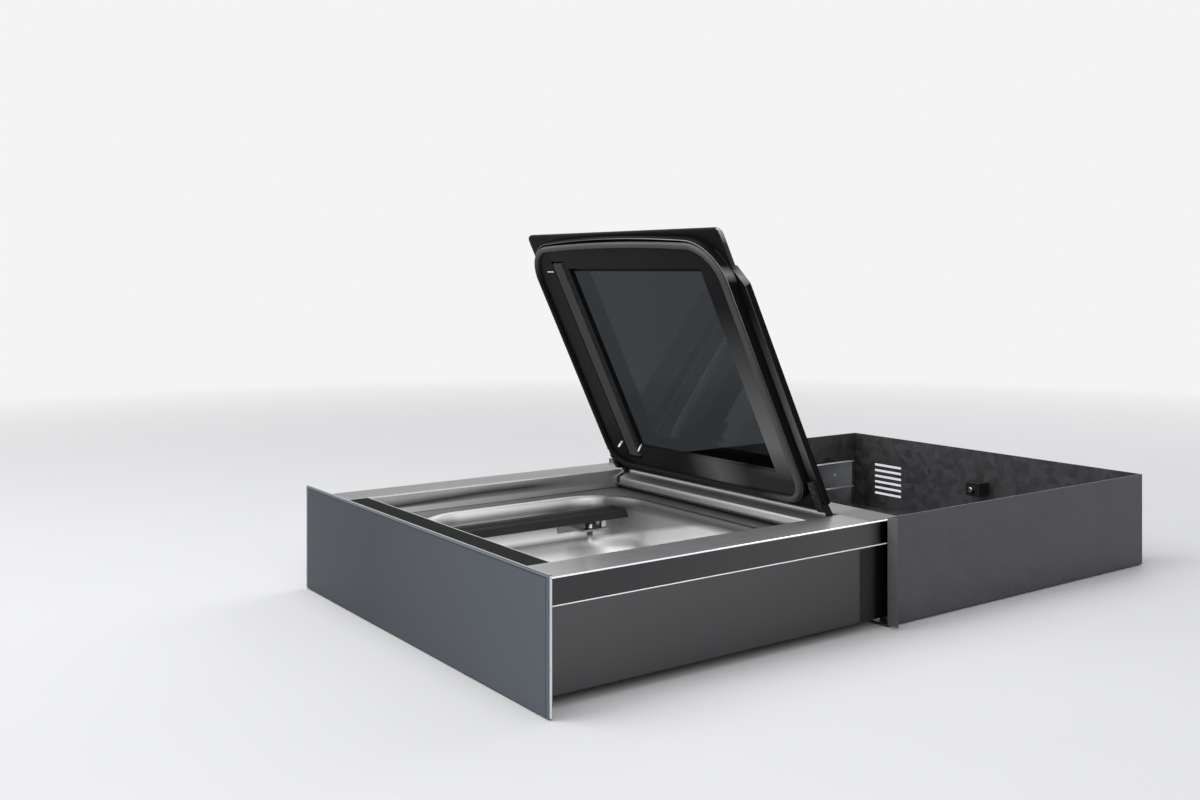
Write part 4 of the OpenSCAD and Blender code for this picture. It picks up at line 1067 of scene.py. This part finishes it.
def counter_bar():
    """Two-step pad on its strip, with its spring clips."""
    bm = bmesh.new()
    for half, y0, y1, low, high in ((12, 104, 411, 0.6, 6), (11, 104.5, 410.5, -1.6, 0.8)):
        slab(bm, box_outline(BAR_X - half, BAR_X + half, y0, y1), LID_UNDER + low, LID_UNDER + high)
    joined(bm)
    chamfered(bm, 0.6, 0)
    on_lid("counter_bar", bm, ["pad_rubber"])
    bm, clip = bmesh.new(), 1.3
    slab(bm, box_outline(BAR_X - 33, BAR_X - 18, 116, 117.4), LID_UNDER - 0.8, LID_UNDER + 0.2)
    for x0, x1, root, tip in ((-160.5, -156.5, (388.7, 105), (393.4, 95)),
                              (-118.2, -115.2, (390.4, 107), (396.7, 97.6))):
        capped(bm, loft(bm, [ring_at(box_outline(x0, x1, y, y + clip), z) for y, z in (root, tip)]))
    joined(bm)
    chamfered(bm, 0.25, 0)
    on_lid("counter_clips", bm, ["edge"])


def lid_glass():
    bm = bmesh.new()
    slab(bm, pane(0.2), LID_TOP - PANE_THICK, LID_TOP)
    joined(bm)
    chamfered(bm, 0.5, 0)
    on_lid("lid_glass", bm, ["smoked_glass"])


# Sealing bar

def seal_bar():
    """Bar with a tape groove between two low ridges and a sloping rear end."""
    low, top, leg, slant = BAR_LOW, BAR_TOP, 4, 5
    section = mirrored([(5, top - 1.2), (6, top), (7.2, top), (14.6, top - 0.3), (16, top - 1.6), (16, low)])
    section += mirrored([(-12, low + leg), (-12, low)])

    def end(y, z):
        """The rear end leans back from its top edge down to its legs."""
        if y < BAR_REAR:
            return y
        return y + slant - slant * max(0.0, min(1.0, (z - low - leg) / (top - low - leg)))

    bm = bmesh.new()
    capped(bm, loft(bm, [[(BAR_X + x, end(y, z), z) for x, z in section] for y in
                         (BAR_FRONT, BAR_FRONT + 1.2, BAR_REAR - 2, BAR_REAR)]))
    joined(bm)
    # The top takes the darker copy of the black plastic, the sides the lighter one: painted light.
    for face in bm.faces:
        face.material_index = 0 if face.normal.z > 0.5 else 2
    chamfered(bm, 0.3, 1)
    in_place_of("seal_bar", bm, ["bar_top", "black_edge", "bar_side"])
    # Tape in the groove, over two wires
    bm = bmesh.new()
    slab(bm, box_outline(BAR_X - 4.9, BAR_X + 4.9, BAR_FRONT + 6, BAR_REAR - 10), top - 1.2, top - 0.3)
    for side in (-2, 2):
        capped(bm, loft(bm, [[(BAR_X + side + 0.8 * c, y, top - 0.35 + 0.35 * s) for c, s in round_about(12)]
                             for y in (BAR_FRONT + 6.2, BAR_REAR - 10.2)]))
    joined(bm, 0)
    in_place_of("seal_wire", bm, ["sliding_tape"])


# Pieces that keep their CAD shape

def kept_shapes():
    """CAD pieces with broken edges: width of the break, finish, finish of the break, pieces."""
    for width, main, edge, nodes in (
            (0.3, "inner_steel", "inner_edge", "front_carrier"),
            (0.3, "strip_glass", "glass_edge", "control_glass"),
            (0.3, "pin_steel", None, "lift_pins"),
            (0.3, "support_steel", None, "seal_bar_supports"),
            (0.2, "contact_brass", None, "seal_contacts"),
            (0.25, "casing_sheet", "casing_edge", "casing_base casing_rear_wall"),
            (0.6, "black_plastic", "black_edge", "latch_housing valve_coils mains_inlet"),
            (0.5, "trim_steel", None, "latch_plunger hinge_pins"),
            (0.3, "runner_steel", "inner_edge", "runner_bracket_left runner_bracket_right"),
            (0.25, "runner_steel", "inner_edge", "runner_outer_left runner_middle_left runner_inner_left "
                                                 "runner_outer_right runner_middle_right runner_inner_right"),
            (0.4, "side", "band", "side_panel_left side_panel_right"),
            (0.25, "inner_steel", "inner_edge", "chassis_pan chassis_wall_left chassis_wall_right rear_panel "
                                                "hinge_bracket_left hinge_bracket_right"),
            (0.5, "arm_steel", "arm_edge", "lid_arm_left lid_arm_right"),
            (0.4, "arm_steel", "arm_edge", "lid_screws"),
            (0.4, "cast_alloy", None, "suction_port"),
            (0.8, "cast_alloy", None, "valve_block pump_cover"),
            (1.0, "cast_alloy", None, "vacuum_pump"),
            (0.1, "foot_rubber", None, "suction_hose"),
            (0.8, "foot_rubber", None, "pump_feet"),
            (0.5, "motor_paint", None, "pump_motor"),
            (0.1, "circuit_board", None, "control_board power_board"),
            (0.4, "black_plastic", "black_edge", "fan_frame"),
            (0.3, "black_plastic", "black_edge", "fan_rotor")):
        for node in nodes.split():
            dress_node(node, main, edge, width)
    for side in ("left", "right"):
        dress_node("casing_wall_" + side, "casing_sheet", "casing_edge", 0.25,
                   lambda normal, middle: normal.y < -0.9, "casing_lip")

    def core(normal, middle):
        """The transformer's core, between its two windings."""
        front, rear, flush = 230.5, 289.5, 1.5
        y = (middle.y - glass_face) / MM
        return front < y < rear or (abs(normal.y) > 0.9 and front - flush < y < rear + flush)

    dress_node("transformer", "winding", None, 0.6, core, "core_sheets")


def small_parts():
    """Screws, rivets, weld spots and other small parts, most of them seen only from behind or inside."""
    screw, back, down = screw_head(3.2, 1.7), (0, 1, 0), (0, 0, -1)
    rows_of("rear_panel", "rear_panel_screws", screw, "trim_steel",
            [((x, BODY_REAR, z), back, 2, (-2 * x, 0, 0)) for x in (-227, -75) for z in (19, 90)])
    rows_of("rear_panel", "fan_screws", screw_head(2.4, 1.5), "black_edge",
            [((-225, BODY_REAR, z), back, 2, (50, 0, 0)) for z in (29, 79)])
    rows_of("rear_panel", "inlet_screws", screw_head(2.2, 1.3), "trim_steel",
            [((160.5, BODY_REAR + 3, 63), back, 2, (39, 0, 0))])
    rows_of("chassis_pan", "pan_screws", screw, "inner_edge",
            [((x, 40, 10.5), down, 5, (0, 115, 0)) for x in (-226, 226)] +
            [((x, 452, 10.5), down, 2, (0, 34, 0)) for x in (-148, -90)])
    for side, sign in (("left", -1), ("right", 1)):
        rows_of("runner_bracket_left", f"bracket_screws_{side}", screw_head(3.6, 1.8), "trim_steel",
                [((sign * 262.2, 538, 3), (0, 0, 1), 2, (0, 435, 0))])
        rows_of("runner_outer_left", f"runner_rivets_{side}", button(3.2, 0.9), "inner_edge",
                [((sign * 252.4, 560, 63), (-sign, 0, 0), 6, (0, 80, 0))])
        rows_of("casing_wall_left", f"weld_spots_{side}", button(3.0, 0.25), "casing_sheet",
                [((sign * 278, 512, z), (sign, 0, 0), 10, (0, 56, 0)) for z in (8, 124)])
    rows_of("power_board", "power_board_parts", brick(3, 6, 1.6), "black_plastic",
            [((226.4, 172, 49), (-1, 0, 0), 14, (0, 13, 0))])
    rows_of("control_board", "control_board_parts", brick(7, 4, 1.3), "black_plastic",
            [((-160, 41, 117.7), down, 17, (20, 0, 0))])
    # Wire guard of the fan: three rings on two crossed bars
    fan_x, fan_z, reach, bar = -200, 54, 31, 0.65
    paths = [[(fan_x + radius * c, BODY_REAR + 0.9, fan_z + radius * s) for c, s in round_about(48)]
             for radius in (9, 16, 23)]
    bm = combined(*(beaded(path, 1.3, 1.3, 0.4, "trim_steel") for path in paths))
    for turn in (45, 135):
        c, s = math.cos(math.radians(turn)), math.sin(math.radians(turn))
        capped(bm, loft(bm, [[(fan_x + c * r - s * w, BODY_REAR + d, fan_z + s * r + c * w) for w, d in
                              ((-bar, 0), (bar, 0), (bar, 1.2), (-bar, 1.2))] for r in (-reach, reach)]))
    outward(bm)
    beside("rear_panel", "fan_guard", bm, "trim_steel", 40)
    # Bolts round the motor's end cap
    bolt = screw_head(3.0, 2.0)
    bolt.transform(Matrix.Translation(about(0, 20, 0)))
    ring = repeated(circle, bolt, Count=4, Turn=(0, 0, math.pi / 2), Finish=finish["trim_steel"])
    ring.transform(Matrix.Translation(at(74, 469, 52.7)) @ pointing((1, 0, 0)))
    beside("pump_motor", "motor_bolts", combined(ring), "trim_steel")
    # Clamp on the hose
    bm = bmesh.new()
    loft(bm, [[(145 + r * c, y, 35.7 + r * s) for c, s in round_about(32)]
              for r, y in ((6.05, 482), (6.8, 482), (6.8, 487), (6.05, 487))], closed=True)
    joined(bm, 0)
    beside("suction_hose", "hose_clamp", bm, "trim_steel", 40)


for make in (chamber_tub, top_frame, rear_ledge, front_glass, lid_frame, lid_gasket, counter_bar, lid_glass,
             seal_bar, kept_shapes, small_parts):
    make()


# Floor, light, camera

BACKDROP = shade(244, 244, 245)


def floor():
    """A pale floor that keeps the object's shadow and turns into the backdrop far out."""
    f = Finish("studio_floor", Specular_IOR_Level=0.1, Roughness=0.8)
    f.to(Base_Color=f.mixed(f.noise(3), shade(176, 176, 177), shade(179, 179, 180)))
    far = f.add("VectorMath", {"operation": "LENGTH"}, {0: f.place}, "Value").between(0.9, 3.2)
    glow = f.add("Emission", None, {"Color": BACKDROP, "Strength": 1.0})
    f.set(f.tree.nodes["Material Output"].inputs["Surface"],
          f.add("MixShader", None, {0: far * f.seen(), 1: Tone(f, f.surface.outputs[0]), 2: glow}))
    bm = bmesh.new()
    under, reaches = -1.5, (500, 1500, 4000, 30000)
    rows = loft(bm, [[(r * c, r * s, under) for c, s in round_about(64)] for r in reaches], place=about)
    bm.faces.new(rows[0])
    outward(bm)
    mesh = meshed(bm, "studio_floor")
    mesh.materials.append(f.material)
    plane = bpy.data.objects.new("studio_floor", mesh)
    bpy.context.scene.collection.objects.link(plane)


def light():
    """A plain sky that is white only to what shows the background, and four soft lamps."""
    world = bpy.data.worlds.new("studio")
    world.use_nodes = True
    bpy.context.scene.world = world
    sky = Nodes(world.node_tree)
    sky.set(sky.tree.nodes["Background"].inputs["Color"],
            sky.mixed(sky.seen(), (0.52, 0.53, 0.55, 1), BACKDROP))
    lamps = (("key", (-0.8, -2.0, 2.3), 2.2, 70), ("fill", (2.4, -0.9, 1.7), 1.8, 26),
             ("over", (0.1, -0.6, 2.8), 2.0, 46), ("back", (-0.6, 2.2, 2.2), 1.6, 30))
    for name, place, size, power in lamps:
        lamp = bpy.data.lights.new(name, "AREA")
        lamp.shape, lamp.size, lamp.energy = "DISK", size, power
        holder = bpy.data.objects.new(name, lamp)
        holder.location = place
        holder.rotation_euler = (Vector((0, -0.25, 0.1)) - Vector(place)).to_track_quat("-Z", "Y").to_euler()
        bpy.context.scene.collection.objects.link(holder)


def camera():
    """The photograph's view: level, from the right of the front, with its picture shifted down."""
    lens = bpy.data.cameras.new("camera")
    lens.sensor_width, lens.lens = 36.0, 36.91
    lens.shift_x, lens.shift_y = 0.0, -0.10875
    lens.clip_start, lens.clip_end = 0.05, 60
    eye = bpy.data.objects.new("camera", lens)
    eye.location = (1.276, -1.1337, 0.4265)
    eye.rotation_euler = (math.radians(90), 0, math.radians(54.59))
    bpy.context.scene.collection.objects.link(eye)
    bpy.context.scene.camera = eye


floor()
light()
camera()
bpy.context.scene.view_settings.view_transform = "Standard"
